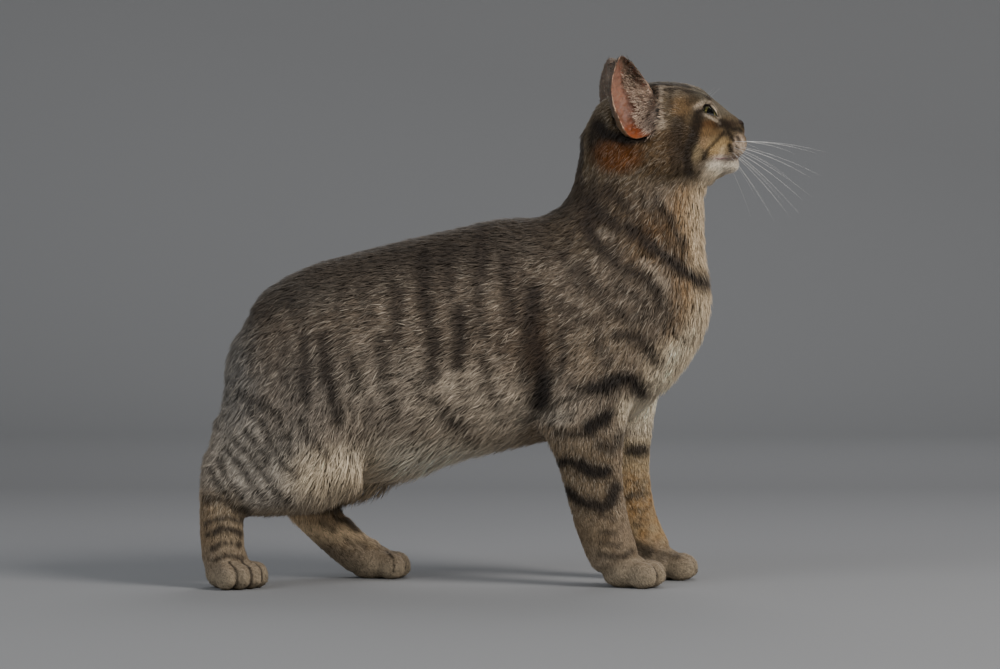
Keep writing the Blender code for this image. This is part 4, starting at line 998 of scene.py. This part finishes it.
def ear_row(t, columns):
    """One ring of the shell: its outer arc from the front rim to the rear, and its inner arc back."""
    _, _, faces, across, _ = ear_axes(1)
    width, depth, lean = ear_size(t)
    tuck = min(max((0.4 - t) / 0.6, 0), 1)
    row = []
    for more_wide, more_deep, order in ((EAR_RIM, EAR_WALL, 1), (0, 0, -1)):
        for k in range(columns + 1)[::order]:
            s = math.pi * (k / columns - 0.5)
            thin = 1 - 0.35 * max(t, 0) - 0.35 * abs(math.sin(s)) ** 3
            back = lean - (depth + more_deep * thin) * math.cos(s)
            place = ear_line(t)[0] + faces * back + across * (width + more_wide * thin) * math.sin(s)
            place[1] -= EAR_TUCK * tuck * max(math.sin(s), 0)
            row.append(place)
    return row


def build_ear(side):
    """A thin cup on the solid ear's shape, with rounded rims and a soft fold at the rear edge."""
    rows, columns, lowest = 34, 20, EAR_LINE[0][0]
    bm = bmesh.new()
    rings = []
    for i in range(rows + 1):
        row = ear_row(lowest + (1 - lowest) * i / rows, columns)
        made = bmesh.ops.create_circle(bm, segments=len(row), radius=1)["verts"]
        for vertex, place in zip(made, row):
            vertex.co = (place[0], place[1] * side, place[2])
        rings.append(made)
    for low, high in zip(rings, rings[1:]):
        edges = []
        for ring in (low, high):
            edges += [bm.edges.get((ring[k], ring[(k + 1) % len(ring)])) for k in range(len(ring))]
        bmesh.ops.bridge_loops(bm, edges=edges)
    bmesh.ops.holes_fill(bm, edges=[edge for edge in bm.edges if edge.is_boundary], sides=0)
    bmesh.ops.recalc_face_normals(bm, faces=bm.faces)
    bmesh.ops.transform(bm, matrix=head_turn(), verts=bm.verts)
    ear = from_bmesh("ear_shell_" + side_name(side), bm)
    rounder = ear.modifiers.new("rounder", "SUBSURF")
    rounder.levels = rounder.render_levels = 2
    applied(ear)
    points = places(ear.data)
    dents = 0.00022 * drift(points, 0.007, 42) + 0.00012 * drift(points, 0.003, 43)
    move_to(ear.data, points + normals(ear.data) * dents[:, None])
    paint(ear.data, ear_colours(places(ear.data), normals(ear.data), side), "ear_colour")
    smooth(ear.data)
    return ear


def ear_inside(outwards, side):
    """1 on the hollow face of the ear, 0 on its back."""
    faces = ear_axes(side)[2]
    return ease(-0.05, 0.25, outwards @ (np.array(head_turn())[:3, :3] @ faces))


def ear_colours(points, outwards, side):
    """Pink inside with a pale rim, a painted orange glow of light through the low pocket, and brown on the
    back.
    """
    up, across, _ = ear_places(points, side)
    pink = mix((0.30, 0.150, 0.100), (0.185, 0.074, 0.040), ease(0.45, -0.1, up))
    # Painted light: the low pocket is orange where light from behind glows through the ear.
    pink = mix(pink, (0.29, 0.062, 0.009), 0.85 * ease(-0.10, -0.34, up) * ease(-0.006, 0.006, across))
    cloudy = 0.45 * ease(0.2, 0.9, drift(points, 0.012, 41)) * ease(0.7, 0.2, up)
    pink = mix(pink, (0.23, 0.105, 0.070), cloudy)
    edge = np.interp(up, EAR_KNOTS, (0.0, 0.012, 0.0150, 0.0125, 0.0065, 0.0))
    pink = mix(pink, (0.60, 0.40, 0.27), 0.9 * ease(-0.0005, 0.0022, across - edge) * ease(-0.35, -0.1, up))
    pink = mix(pink, (0.50, 0.36, 0.26), 0.85 * ease(-0.0050, 0.0020, -across - edge) * ease(0.5, 0.2, up))
    pink = mix(pink, (0.20, 0.15, 0.10), 0.8 * ease(-0.0040, 0.0010, -across - edge) * ease(0.25, 0.5, up))
    back = mix((0.122, 0.088, 0.064), (0.17, 0.10, 0.05), ease(0.3, -0.2, up))
    return mix(back, pink, ear_inside(outwards, side))


def ear_fur(ears, unwrap_ears):
    """Short hair over the backs of the ears and long pale hairs across their front edges."""
    made = []
    for side, ear in ears:
        roots, out = scatter(ear.data, 5200, lambda p: np.ones(len(p)))
        up, across, _ = ear_places(roots, side)
        keep = (ear_inside(out, side) < 0.35) & (up > -0.30)
        roots, out, across = roots[keep], out[keep], across[keep]
        _, axis, faces, over, _ = ear_axes(side)
        spin = np.array(head_turn())[:3, :3]
        axis, over, faces = spin @ axis, spin @ over, spin @ faces
        count = len(roots)
        way = np.tile(axis, (count, 1)) + over * (np.sign(across) * 0.25)[:, None]
        along = unit(laid(way, out) + CHANCE.normal(0, 0.12, (count, 3)))
        length = CHANCE.uniform(0.0020, 0.0036, count)
        shade = np.exp(CHANCE.normal(0, 0.25, count))[:, None]
        colour = ear_colours(roots, -np.tile(faces, (count, 1)), side) * shade
        colour = mix(colour, (0.34, 0.26, 0.18), 0.5 * (CHANCE.random(count) < 0.3))
        made.append((roots, out, along, length, np.full(count, 0.00050), colour, np.full(count, 0.34)))
        # the fringe that crosses the opening from the front edge
        roots, out = scatter(ear.data, 24000, lambda p: np.ones(len(p)))
        up, across, _ = ear_places(roots, side)
        front = np.interp(up, EAR_KNOTS, (0.0, 0.010, 0.0145, 0.0120, 0.0060, 0.0))
        edge = (-across > front - 0.0035 - 0.004 * (up < -0.1)) & (up > -0.54) & (up < 0.85)
        edge &= ear_inside(out, side) > 0.1
        roots, out, up = (part[edge][:2200] for part in (roots, out, up))
        count = len(roots)
        climb = np.interp(up, (-0.5, -0.2, 0.1, 0.8), (-0.25, 0.05, 0.35, 0.80))[:, None]
        way = over[None] * (1 - 0.5 * climb) + axis[None] * climb + faces[None] * 0.28
        along = unit(way + CHANCE.normal(0, 0.17, (count, 3)))
        out = unit(laid(out, along))
        length = CHANCE.uniform(0.0050, 0.0105, count) * (1 - 0.70 * np.clip(up, -0.3, 1))
        colour = np.array((0.80, 0.60, 0.46)) * np.exp(CHANCE.normal(0, 0.14, count))[:, None]
        colour = mix(colour, (0.150, 0.112, 0.074), (CHANCE.random(count) < 0.60) * ease(0.10, 0.42, up))
        made.append((roots, out, along, length, np.full(count, 0.00026), colour, np.full(count, 0.10)))
    roots, out, along, length, width, colour, lift = (np.concatenate(column) for column in zip(*made))
    # Roots darker and tips lighter than the middles, the roots partly painted shade deep in the fur.
    return tuft_mesh("ear_fur", roots, out, along, length, width, (colour * 0.8, colour, colour * 1.12),
                     unwrap_ears.read(roots), lift, np.full(len(roots), 0.12))


# Eyes

def eye_piece(side):
    """The ball with a flat iris set back behind the cornea, and the clear cornea over it."""
    where = side_name(side)
    radius = EYE_RADIUS - 0.0003
    bm = bmesh.new()
    bmesh.ops.create_icosphere(bm, subdivisions=6, radius=radius)
    rim = 0.60 * radius
    widest = math.sqrt(radius**2 - rim**2)
    gaze = []
    for vertex in bm.verts:
        x, y, z = vertex.co
        if x > rim:
            turn = math.acos(min(1, x / radius)) / math.acos(0.60)
            out = max(math.hypot(y, z), 1e-9)
            y, z = y / out * widest * turn, z / out * widest * turn
            vertex.co = (rim, y, z)
        gaze.append((y / widest, z / widest, 1.0 if x > rim else 0.0))
    ball = from_bmesh("iris_" + where, bm)
    layer = ball.data.attributes.new("gaze", "FLOAT_VECTOR", "POINT")
    layer.data.foreach_set("vector", np.array(gaze, np.float32).ravel())
    ball.data.transform(eye_frame(side))
    smooth(ball.data)
    dome = bmesh.new()
    bmesh.ops.create_icosphere(dome, subdivisions=6, radius=EYE_RADIUS)
    bmesh.ops.transform(dome, matrix=eye_frame(side), verts=dome.verts)
    cornea = from_bmesh("cornea_" + where, dome)
    smooth(cornea.data)
    return ball, cornea


def tube(name, paths, radii, sides):
    """Round tubes along lists of points, as one mesh at the origin."""
    curve = bpy.data.curves.new(name, "CURVE")
    curve.dimensions = "3D"
    curve.bevel_depth = 1.0
    curve.bevel_resolution = max(0, sides // 2 - 2)
    curve.use_fill_caps = True
    for path, thick in zip(paths, radii):
        spline = curve.splines.new("POLY")
        spline.points.add(len(path) - 1)
        for point, place, radius in zip(spline.points, path, thick):
            point.co = (*place, 1)
            point.radius = radius
    obj = new_object(name, curve)
    mesh = evaluated(obj)
    bpy.data.objects.remove(obj, do_unlink=True)
    mesh.name = name
    smooth(mesh)
    return new_object(name, mesh)


def lid_tube(name, over, tracks):
    """A tube round each eye, over the ball by a distance. A track lists the tube's y, z and radius."""
    paths, radii = [], []
    for side, track in zip((1, -1), tracks):
        path = []
        for y, z, _ in track:
            out = math.sqrt(max((EYE_RADIUS + over) ** 2 - y * y - z * z, 1e-8))
            path.append(eye_frame(side) @ Vector((max(out, 0.0036), y, z)))
        paths.append(path)
        radii.append([thick for _, _, thick in track])
    return tube(name, paths, radii, 8)


def lid_rims():
    """The dark wet edges of the lids, all round both openings."""
    half, steps = OPENING_LENGTH / 2, 36
    track = []
    for k in range(2 * steps + 1):
        a = math.pi * k / steps
        high = UPPER_OPENING if math.sin(a) >= 0 else LOWER_OPENING
        up = high * math.copysign(abs(math.sin(a)) ** 0.9, math.sin(a))
        track.append((half * 0.985 * math.cos(a), up, 0.00085))
    return lid_tube("lid_rims", 0.0004, (track, track))


def pale_lid_edge_reflections():
    """The pale edge of the upper lid from its top to the inner corner, partly a painted reflection along the
    cornea's front edge.
    """
    half, steps = OPENING_LENGTH / 2, 16
    tracks = []
    for side in (1, -1):
        track = []
        for k in range(steps + 1):
            a = math.radians(8 + 76 * k / steps)
            up = (UPPER_OPENING + 0.0001) * math.sin(a) ** 0.9
            thick = 0.00045 + 0.00075 * math.sin(math.pi * k / steps)
            track.append((-side * half * 0.97 * math.cos(a), up, thick))
        tracks.append(track)
    return lid_tube("pale_lid_edge_reflections", 0.0010, tracks)


# Nose and mouth

def build_nose():
    """Nose leather with comma-shaped nostrils and the cleft between them."""
    bm = bmesh.new()
    bmesh.ops.create_icosphere(bm, subdivisions=6, radius=1)
    for vertex in bm.verts:
        x, y, z = vertex.co
        wide = 1.0 - 0.28 * max(0.0, -z) ** 1.2
        x, y, z = x * NOSE_RADII[0], y * NOSE_RADII[1] * wide, z * NOSE_RADII[2]
        front = max(0.0, x / NOSE_RADII[0])
        fading = 1.0 if z < 0.0012 else math.exp(-((z - 0.0012) / 0.001) ** 2)
        cleft = math.exp(-((y / 0.00055) ** 2)) * (0.00075 * fading)
        away = ((abs(y) - 0.0038) / 0.00135) ** 2 + ((z + 0.0006) / 0.00105) ** 2
        comma = ((abs(y) - 0.0052) / 0.0012) ** 2 + ((z + 0.0001 + 0.4 * (abs(y) - 0.0052)) / 0.0006) ** 2
        hollow = 0.0021 * math.exp(-away) + 0.0012 * math.exp(-comma)
        swell = 0.0005 * math.exp(-(((abs(y) - 0.0045) / 0.0016) ** 2 + ((z - 0.0012) / 0.0010) ** 2))
        vertex.co = (x - front * (cleft + hollow - swell), y, z)
    bmesh.ops.transform(bm, matrix=head_turn() @ Matrix.Translation(NOSE_CENTRE), verts=bm.verts)
    nose = from_bmesh("nose_leather", bm)
    smooth(nose.data)
    return nose


def on_skin(tree, point, toward):
    """The skin's surface met from a point outside it."""
    met = tree.ray_cast(Vector(point), Vector(toward).normalized())
    return met[0] if met[0] else Vector(point)


def mouth_line(tree):
    """The seam of the lips from under the nose to both corners, lying on the skin."""
    turn = head_turn()
    spin = turn.to_3x3()
    paths, radii = [], []
    for side in (1, -1):
        path, thick = [], []
        for k in range(26):
            t = k / 25
            y = side * 0.0202 * t ** 0.75
            z = 0.2930 - 0.0046 * math.sin(min(1.0, t * 1.9) * math.pi / 2) + 0.0010 * t
            out = Vector((1.0, 0.35 * side * t, 0.0)) if t < 0.35 else Vector((0.55 - 0.5 * t, side, 0))
            aim = Vector((0.1395 - 0.004 * t, y * 0.5, z))
            met = on_skin(tree, turn @ (aim + out.normalized() * 0.05), spin @ -out)
            path.append(met - (spin @ out.normalized()) * 0.0002)
            thick.append(0.00055 * (1 - 0.6 * t**3))
        paths.append(path)
        radii.append(thick)
    drop = []
    for k in range(8):
        z = 0.3082 - k * (0.3082 - 0.2930) / 7
        met = on_skin(tree, turn @ Vector((0.190, 0, z)), spin @ Vector((-1, 0, 0)))
        drop.append(met - (spin @ Vector((1, 0, 0))) * 0.0002)
    paths.append(drop)
    radii.append([0.0005] * 8)
    return tube("mouth_line", paths, radii, 6)


# Whiskers

def whiskers():
    """Four rows of three on each pad and five over each eye."""
    turn = head_turn()
    paths, radii = [], []
    steps = [k / 14 for k in range(15)]

    def add(root, way, length, droop, thick):
        paths.append([turn @ (root + way * length * t - Vector((0, 0, 1)) * droop * t**2) for t in steps])
        radii.append([thick * (1 - 0.86 * t**1.3) for t in steps])

    for side in (1, -1):
        for r, z in enumerate(WHISKER_ROWS):
            for c, x in enumerate(WHISKER_COLUMNS):
                outwards = math.radians(22 + 18 * c)
                rise = math.radians(3 - 13 * r)
                flat = math.cos(rise)
                way = Vector((math.cos(outwards) * flat, math.sin(outwards) * side * flat, math.sin(rise)))
                root = Vector((x, 0.0125 * side, z)) - way * 0.002
                length = 0.064 * (1 - 0.05 * r + 0.05 * c)
                add(root, way, length, 0.16 * length, 0.00010)
        for k in range(5):
            place = Vector((0.1315 - 0.002 * k, (0.0125 + 0.0022 * k) * side, 0.3275 - 0.0006 * k))
            way = Vector((0.55 - 0.16 * k, (0.25 + 0.16 * k) * side, 0.80)).normalized()
            add(place - way * 0.003, way, 0.020 - 0.002 * k, 0.004, 0.00006)
    return tube("whiskers", paths, radii, 4)


# Materials

def put(node, values):
    """Sets a node's own sockets."""
    for socket, value in values.items():
        node.inputs[socket].default_value = value


def material(name, base, roughness, more):
    made = bpy.data.materials.new(name)
    made.use_nodes = True
    shader = made.node_tree.nodes["Principled BSDF"]
    put(shader, {"Base Color": (*base, 1), "Roughness": roughness, **more})
    return made, made.node_tree, shader


def add_node(tree, kind, **settings):
    node = tree.nodes.new(kind)
    for name, value in settings.items():
        setattr(node, name, value)
    return node


def noise(tree, scale, detail, stretch=(1, 1, 1)):
    """Noise over Object coordinates, drawn out by stretch."""
    where = add_node(tree, "ShaderNodeTexCoord")
    mapping = add_node(tree, "ShaderNodeMapping")
    mapping.inputs["Scale"].default_value = stretch
    tree.links.new(where.outputs["Object"], mapping.inputs["Vector"])
    field = add_node(tree, "ShaderNodeTexNoise")
    put(field, {"Scale": scale, "Detail": detail})
    tree.links.new(mapping.outputs["Vector"], field.inputs["Vector"])
    return field.outputs["Fac"]


def ramp(tree, value, stops):
    node = add_node(tree, "ShaderNodeValToRGB")
    elements = node.color_ramp.elements
    while len(elements) < len(stops):
        elements.new(0.5)
    for element, (position, colour) in zip(elements, stops):
        element.position = position
        element.color = (*colour, 1)
    tree.links.new(value, node.inputs["Fac"])
    return node.outputs["Color"]


def tinted(tree, colour, value, low, high):
    """The colour made lighter and darker by a field."""
    shade = add_node(tree, "ShaderNodeMapRange")
    put(shade, {"From Min": 0.3, "From Max": 0.7, "To Min": low, "To Max": high})
    tree.links.new(value, shade.inputs["Value"])
    node = add_node(tree, "ShaderNodeMix", data_type="RGBA", blend_type="MULTIPLY")
    node.inputs["Factor"].default_value = 1.0
    tree.links.new(colour, node.inputs["A"])
    tree.links.new(shade.outputs["Result"], node.inputs["B"])
    return node.outputs["Result"]


def bump(tree, shader, height, strength, distance):
    node = add_node(tree, "ShaderNodeBump")
    put(node, {"Strength": strength, "Distance": distance})
    tree.links.new(height, node.inputs["Height"])
    tree.links.new(node.outputs["Normal"], shader.inputs["Normal"])


def painted(tree, name):
    return add_node(tree, "ShaderNodeAttribute", attribute_name=name).outputs["Color"]


def hair_finish():
    """Hair, coloured from its mesh, a little uneven and with a faint sheen."""
    more = {"Specular IOR Level": 0.28, "Sheen Weight": 0.10, "Sheen Roughness": 0.45}
    made, tree, shader = material("coat_hair", (0.2, 0.16, 0.12), 0.62, more)
    colour = tinted(tree, painted(tree, "coat_colour"), noise(tree, 420, 2.0), 0.86, 1.14)
    tree.links.new(colour, shader.inputs["Base Color"])
    return made


def undercoat():
    made, tree, shader = material("undercoat", (0.1, 0.08, 0.06), 0.85, {"Specular IOR Level": 0.15})
    # The skin takes the coat's colours darkened by noise to 0.35 to 0.85 of them: painted shade deep among
    # the hairs, mottled by the noise.
    colour = tinted(tree, painted(tree, "coat_colour"), noise(tree, 900, 4.0, (1.0, 1.0, 0.5)), 0.35, 0.85)
    tree.links.new(colour, shader.inputs["Base Color"])
    bump(tree, shader, noise(tree, 1400, 3.0, (1.0, 1.0, 0.4)), 0.5, 0.0006)
    return made


def ear_finish():
    made, tree, shader = material("ear_skin", (0.45, 0.24, 0.17), 0.55, {
        "Specular IOR Level": 0.35, "Subsurface Weight": 0.25,
        "Subsurface Radius": (0.004, 0.0015, 0.0008), "Subsurface Scale": 0.6,
    })
    colour = tinted(tree, painted(tree, "ear_colour"), noise(tree, 260, 5.0), 0.80, 1.15)
    tree.links.new(colour, shader.inputs["Base Color"])
    bump(tree, shader, noise(tree, 900, 3.0), 0.25, 0.0003)
    return made


def nose_finish():
    made, tree, shader = material("nose_leather", (0.05, 0.03, 0.025), 0.62, {"Specular IOR Level": 0.09})
    field = noise(tree, 320, 4.0)
    stops = ((0.30, (0.011, 0.007, 0.005)), (0.55, (0.024, 0.015, 0.010)), (0.80, (0.048, 0.029, 0.020)))
    tree.links.new(ramp(tree, field, stops), shader.inputs["Base Color"])
    cells = add_node(tree, "ShaderNodeTexVoronoi")
    cells.inputs["Scale"].default_value = 1900
    where = add_node(tree, "ShaderNodeTexCoord")
    tree.links.new(where.outputs["Object"], cells.inputs["Vector"])
    bump(tree, shader, cells.outputs["Distance"], 0.35, 0.0002)
    return made


def rim_finish(name, dark, light, roughness):
    made, tree, shader = material(name, dark, roughness, {"Specular IOR Level": 0.25})
    stops = ((0.3, dark), (0.75, light))
    tree.links.new(ramp(tree, noise(tree, 500, 3.0), stops), shader.inputs["Base Color"])
    bump(tree, shader, noise(tree, 1500, 2.0), 0.2, 0.0002)
    return made


def iris_finish(lean):
    """Olive and amber fibres from a dark rim to an upright slit, which lean sets upright."""
    made, tree, shader = material("iris", (0.3, 0.28, 0.08), 0.7, {"Specular IOR Level": 0.1})
    links = tree.links
    gaze = add_node(tree, "ShaderNodeAttribute", attribute_name="gaze").outputs["Vector"]
    turned = add_node(tree, "ShaderNodeMapping")
    turned.inputs["Rotation"].default_value = (0, 0, lean)
    links.new(gaze, turned.inputs["Vector"])
    parts = add_node(tree, "ShaderNodeSeparateXYZ")
    links.new(turned.outputs["Vector"], parts.inputs["Vector"])
    across, up = parts.outputs["X"], parts.outputs["Y"]

    def maths(kind, first, second=None):
        node = add_node(tree, "ShaderNodeMath", operation=kind)
        for socket, value in zip(node.inputs, (first, second)):
            if isinstance(value, (int, float)):
                socket.default_value = value
            elif value is not None:
                links.new(value, socket)
        return node.outputs["Value"]

    squared = maths("ADD", maths("MULTIPLY", across, across), maths("MULTIPLY", up, up))
    radius = maths("SQRT", squared)
    angle = maths("ARCTAN2", up, across)
    spokes = add_node(tree, "ShaderNodeTexNoise", noise_dimensions="2D")
    put(spokes, {"Scale": 1.0, "Detail": 4.0})
    joined = add_node(tree, "ShaderNodeCombineXYZ")
    links.new(maths("MULTIPLY", angle, 14.0), joined.inputs["X"])
    links.new(maths("MULTIPLY", radius, 3.0), joined.inputs["Y"])
    links.new(joined.outputs["Vector"], spokes.inputs["Vector"])
    rings = ramp(tree, radius, (
        (0.12, (0.20, 0.12, 0.026)), (0.45, (0.21, 0.17, 0.040)), (0.66, (0.11, 0.10, 0.028)),
        (0.80, (0.020, 0.018, 0.009)), (1.0, (0.006, 0.005, 0.004)),
    ))
    fibres = tinted(tree, rings, spokes.outputs["Fac"], 0.55, 1.35)
    slit = maths("ADD", maths("POWER", maths("ABSOLUTE", maths("DIVIDE", across, 0.50)), 1.6),
                 maths("POWER", maths("ABSOLUTE", maths("DIVIDE", up, 0.85)), 1.8))
    hole = add_node(tree, "ShaderNodeMapRange")
    put(hole, {"From Min": 0.90, "From Max": 1.10})
    links.new(slit, hole.inputs["Value"])
    final = add_node(tree, "ShaderNodeMix", data_type="RGBA")
    links.new(hole.outputs["Result"], final.inputs["Factor"])
    final.inputs["A"].default_value = (0.003, 0.003, 0.003, 1)
    links.new(fibres, final.inputs["B"])
    links.new(final.outputs["Result"], shader.inputs["Base Color"])
    bump(tree, shader, spokes.outputs["Fac"], 0.3, 0.0003)
    return made


def cornea_finish():
    more = {"Transmission Weight": 1.0, "IOR": 1.10, "Specular IOR Level": 0.12}
    return material("cornea", (1.0, 1.0, 1.0), 0.0, more)[0]


def whisker_finish():
    made, tree, shader = material("whisker_hair", (0.8, 0.78, 0.74), 0.35, {"Coat Weight": 0.2})
    stops = ((0.3, (0.62, 0.59, 0.54)), (0.7, (0.88, 0.86, 0.82)))
    tree.links.new(ramp(tree, noise(tree, 60, 2.0), stops), shader.inputs["Base Color"])
    return made


# Stage, light and camera

def build_stage():
    """A pale floor that curves up into a grey wall. Its grey darkens in a band behind the cat, a painted
    shadow, and lightens up the wall.
    """
    bm = bmesh.new()
    profile = [Vector((-14, -14.0, 0)), Vector((-14, 2.2, 0))]
    for k in range(1, 9):
        a = math.pi / 2 * k / 8
        profile.append(Vector((-14, 2.2 + 0.8 * math.sin(a), 0.8 * (1 - math.cos(a)))))
    profile.append(Vector((-14, 3.0, 4.5)))
    verts = [bm.verts.new(p) for p in profile]
    edges = [bm.edges.new(pair) for pair in zip(verts[:-1], verts[1:])]
    pushed = bmesh.ops.extrude_edge_only(bm, edges=edges)["geom"]
    bmesh.ops.translate(bm, vec=(28, 0, 0), verts=[v for v in pushed if isinstance(v, bmesh.types.BMVert)])
    bmesh.ops.recalc_face_normals(bm, faces=bm.faces)
    sweep = from_bmesh("studio_sweep", bm)
    smooth(sweep.data)
    made, tree, shader = material("studio_paper_painted_shadow", (0.22, 0.22, 0.22), 0.9, {})
    where = add_node(tree, "ShaderNodeTexCoord")
    parts = add_node(tree, "ShaderNodeSeparateXYZ")
    tree.links.new(where.outputs["Object"], parts.inputs["Vector"])
    depth = add_node(tree, "ShaderNodeMapRange")
    depth.inputs["From Max"].default_value = 3.0
    tree.links.new(parts.outputs["Y"], depth.inputs["Value"])
    # Along Y the grey dips behind the cat as painted shadow and rises again up the wall.
    stops = ((0.0, (0.215, 0.215, 0.218)), (0.10, (0.20, 0.20, 0.205)), (0.35, (0.150, 0.150, 0.153)),
             (1.0, (0.290, 0.288, 0.290)))
    shades = ramp(tree, depth.outputs["Result"], stops)
    tree.links.new(tinted(tree, shades, noise(tree, 0.6, 1.0), 0.96, 1.04), shader.inputs["Base Color"])
    sweep.data.materials.append(made)


def area_light(name, place, aim, size, power, tint):
    lamp = bpy.data.lights.new(name, "AREA")
    lamp.shape = "DISK"
    lamp.size = size
    lamp.energy = power
    lamp.color = tint
    obj = new_object(name, lamp)
    obj.location = place
    obj.rotation_euler = (Vector(aim) - Vector(place)).to_track_quat("-Z", "Y").to_euler()


def build_light():
    area_light("key", (1.7, -1.3, 1.7), (0.05, 0, 0.18), 1.1, 62, (1.0, 0.965, 0.92))
    area_light("fill", (-1.9, -1.6, 1.4), (-0.05, 0, 0.15), 1.8, 26, (0.93, 0.96, 1.0))
    area_light("back", (0.4, 1.5, 1.8), (0, 0, 0.2), 1.4, 16, (0.97, 0.98, 1.0))
    world = bpy.data.worlds.new("studio")
    bpy.context.scene.world = world
    world.use_nodes = True
    sky = world.node_tree.nodes["Background"]
    put(sky, {"Color": (0.80, 0.86, 0.92, 1), "Strength": 0.34})


def build_camera():
    lens_data = bpy.data.cameras.new("camera")
    lens_data.sensor_width = 36
    lens_data.lens = FOCAL_LENGTH / PICTURE_WIDTH * 36
    lens_data.clip_end = 50
    camera = new_object("camera", lens_data)
    camera.location = (-0.0114, -2.208, 0.200)
    camera.rotation_euler = (math.radians(90) - math.atan((PICTURE_MIDDLE - HORIZON) / FOCAL_LENGTH), 0, 0)
    bpy.context.scene.camera = camera


def finish(piece, made):
    piece.data.materials.clear()
    piece.data.materials.append(made)
    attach(piece, "root")


def main():
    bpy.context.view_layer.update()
    build_camera()
    build_light()
    build_stage()
    skin = build_skin()
    unwrap = Unwrap(skin)
    open_lids(skin)
    coat = build_coat(skin, unwrap)
    points = places(skin.data)
    # The skin takes the coat's colours, with painted shade in the toe clefts.
    paint(skin.data, mix(coat_colours(points), (0.03, 0.022, 0.016), 0.85 * toe_cleft_shade(points)))
    smooth(skin.data)
    tree = BVHTree.FromObject(skin, bpy.context.evaluated_depsgraph_get())
    ears = [(side, build_ear(side)) for side in (1, -1)]
    both = bmesh.new()
    for _, ear in ears:
        both.from_mesh(ear.data)
    ear_unwrap_base = from_bmesh("ear_unwrap", both)
    fur = ear_fur(ears, Unwrap(ear_unwrap_base))
    bpy.data.objects.remove(ear_unwrap_base, do_unlink=True)

    finish(skin, undercoat())
    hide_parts(*FLESH)
    hair = hair_finish()
    for piece, slot in coat:
        finish(piece, hair)
    leather = ear_finish()
    for side, ear in ears:
        finish(ear, leather)
        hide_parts("ear_left" if side > 0 else "ear_right")
    finish(fur, hair)
    clear = cornea_finish()
    for side in (1, -1):
        ball, cornea = eye_piece(side)
        finish(ball, iris_finish(-EYE_SLANT * side))
        finish(cornea, clear)
        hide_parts("eye_left" if side > 0 else "eye_right")
    lid_edge = rim_finish("lid_edge", (0.012, 0.008, 0.007), (0.045, 0.028, 0.022), 0.4)
    finish(lid_rims(), lid_edge)
    # The pale lid edges are partly a painted reflection along the cornea's front edge.
    pale_lid_reflection = rim_finish("pale_lid_reflection", (0.52, 0.42, 0.30), (0.70, 0.60, 0.45), 0.6)
    finish(pale_lid_edge_reflections(), pale_lid_reflection)
    nose = build_nose()
    finish(nose, nose_finish())
    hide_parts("nose")
    lip_edge = rim_finish("lip_edge", (0.20, 0.12, 0.11), (0.34, 0.22, 0.20), 0.6)
    finish(mouth_line(tree), lip_edge)
    finish(whiskers(), whisker_finish())


main()
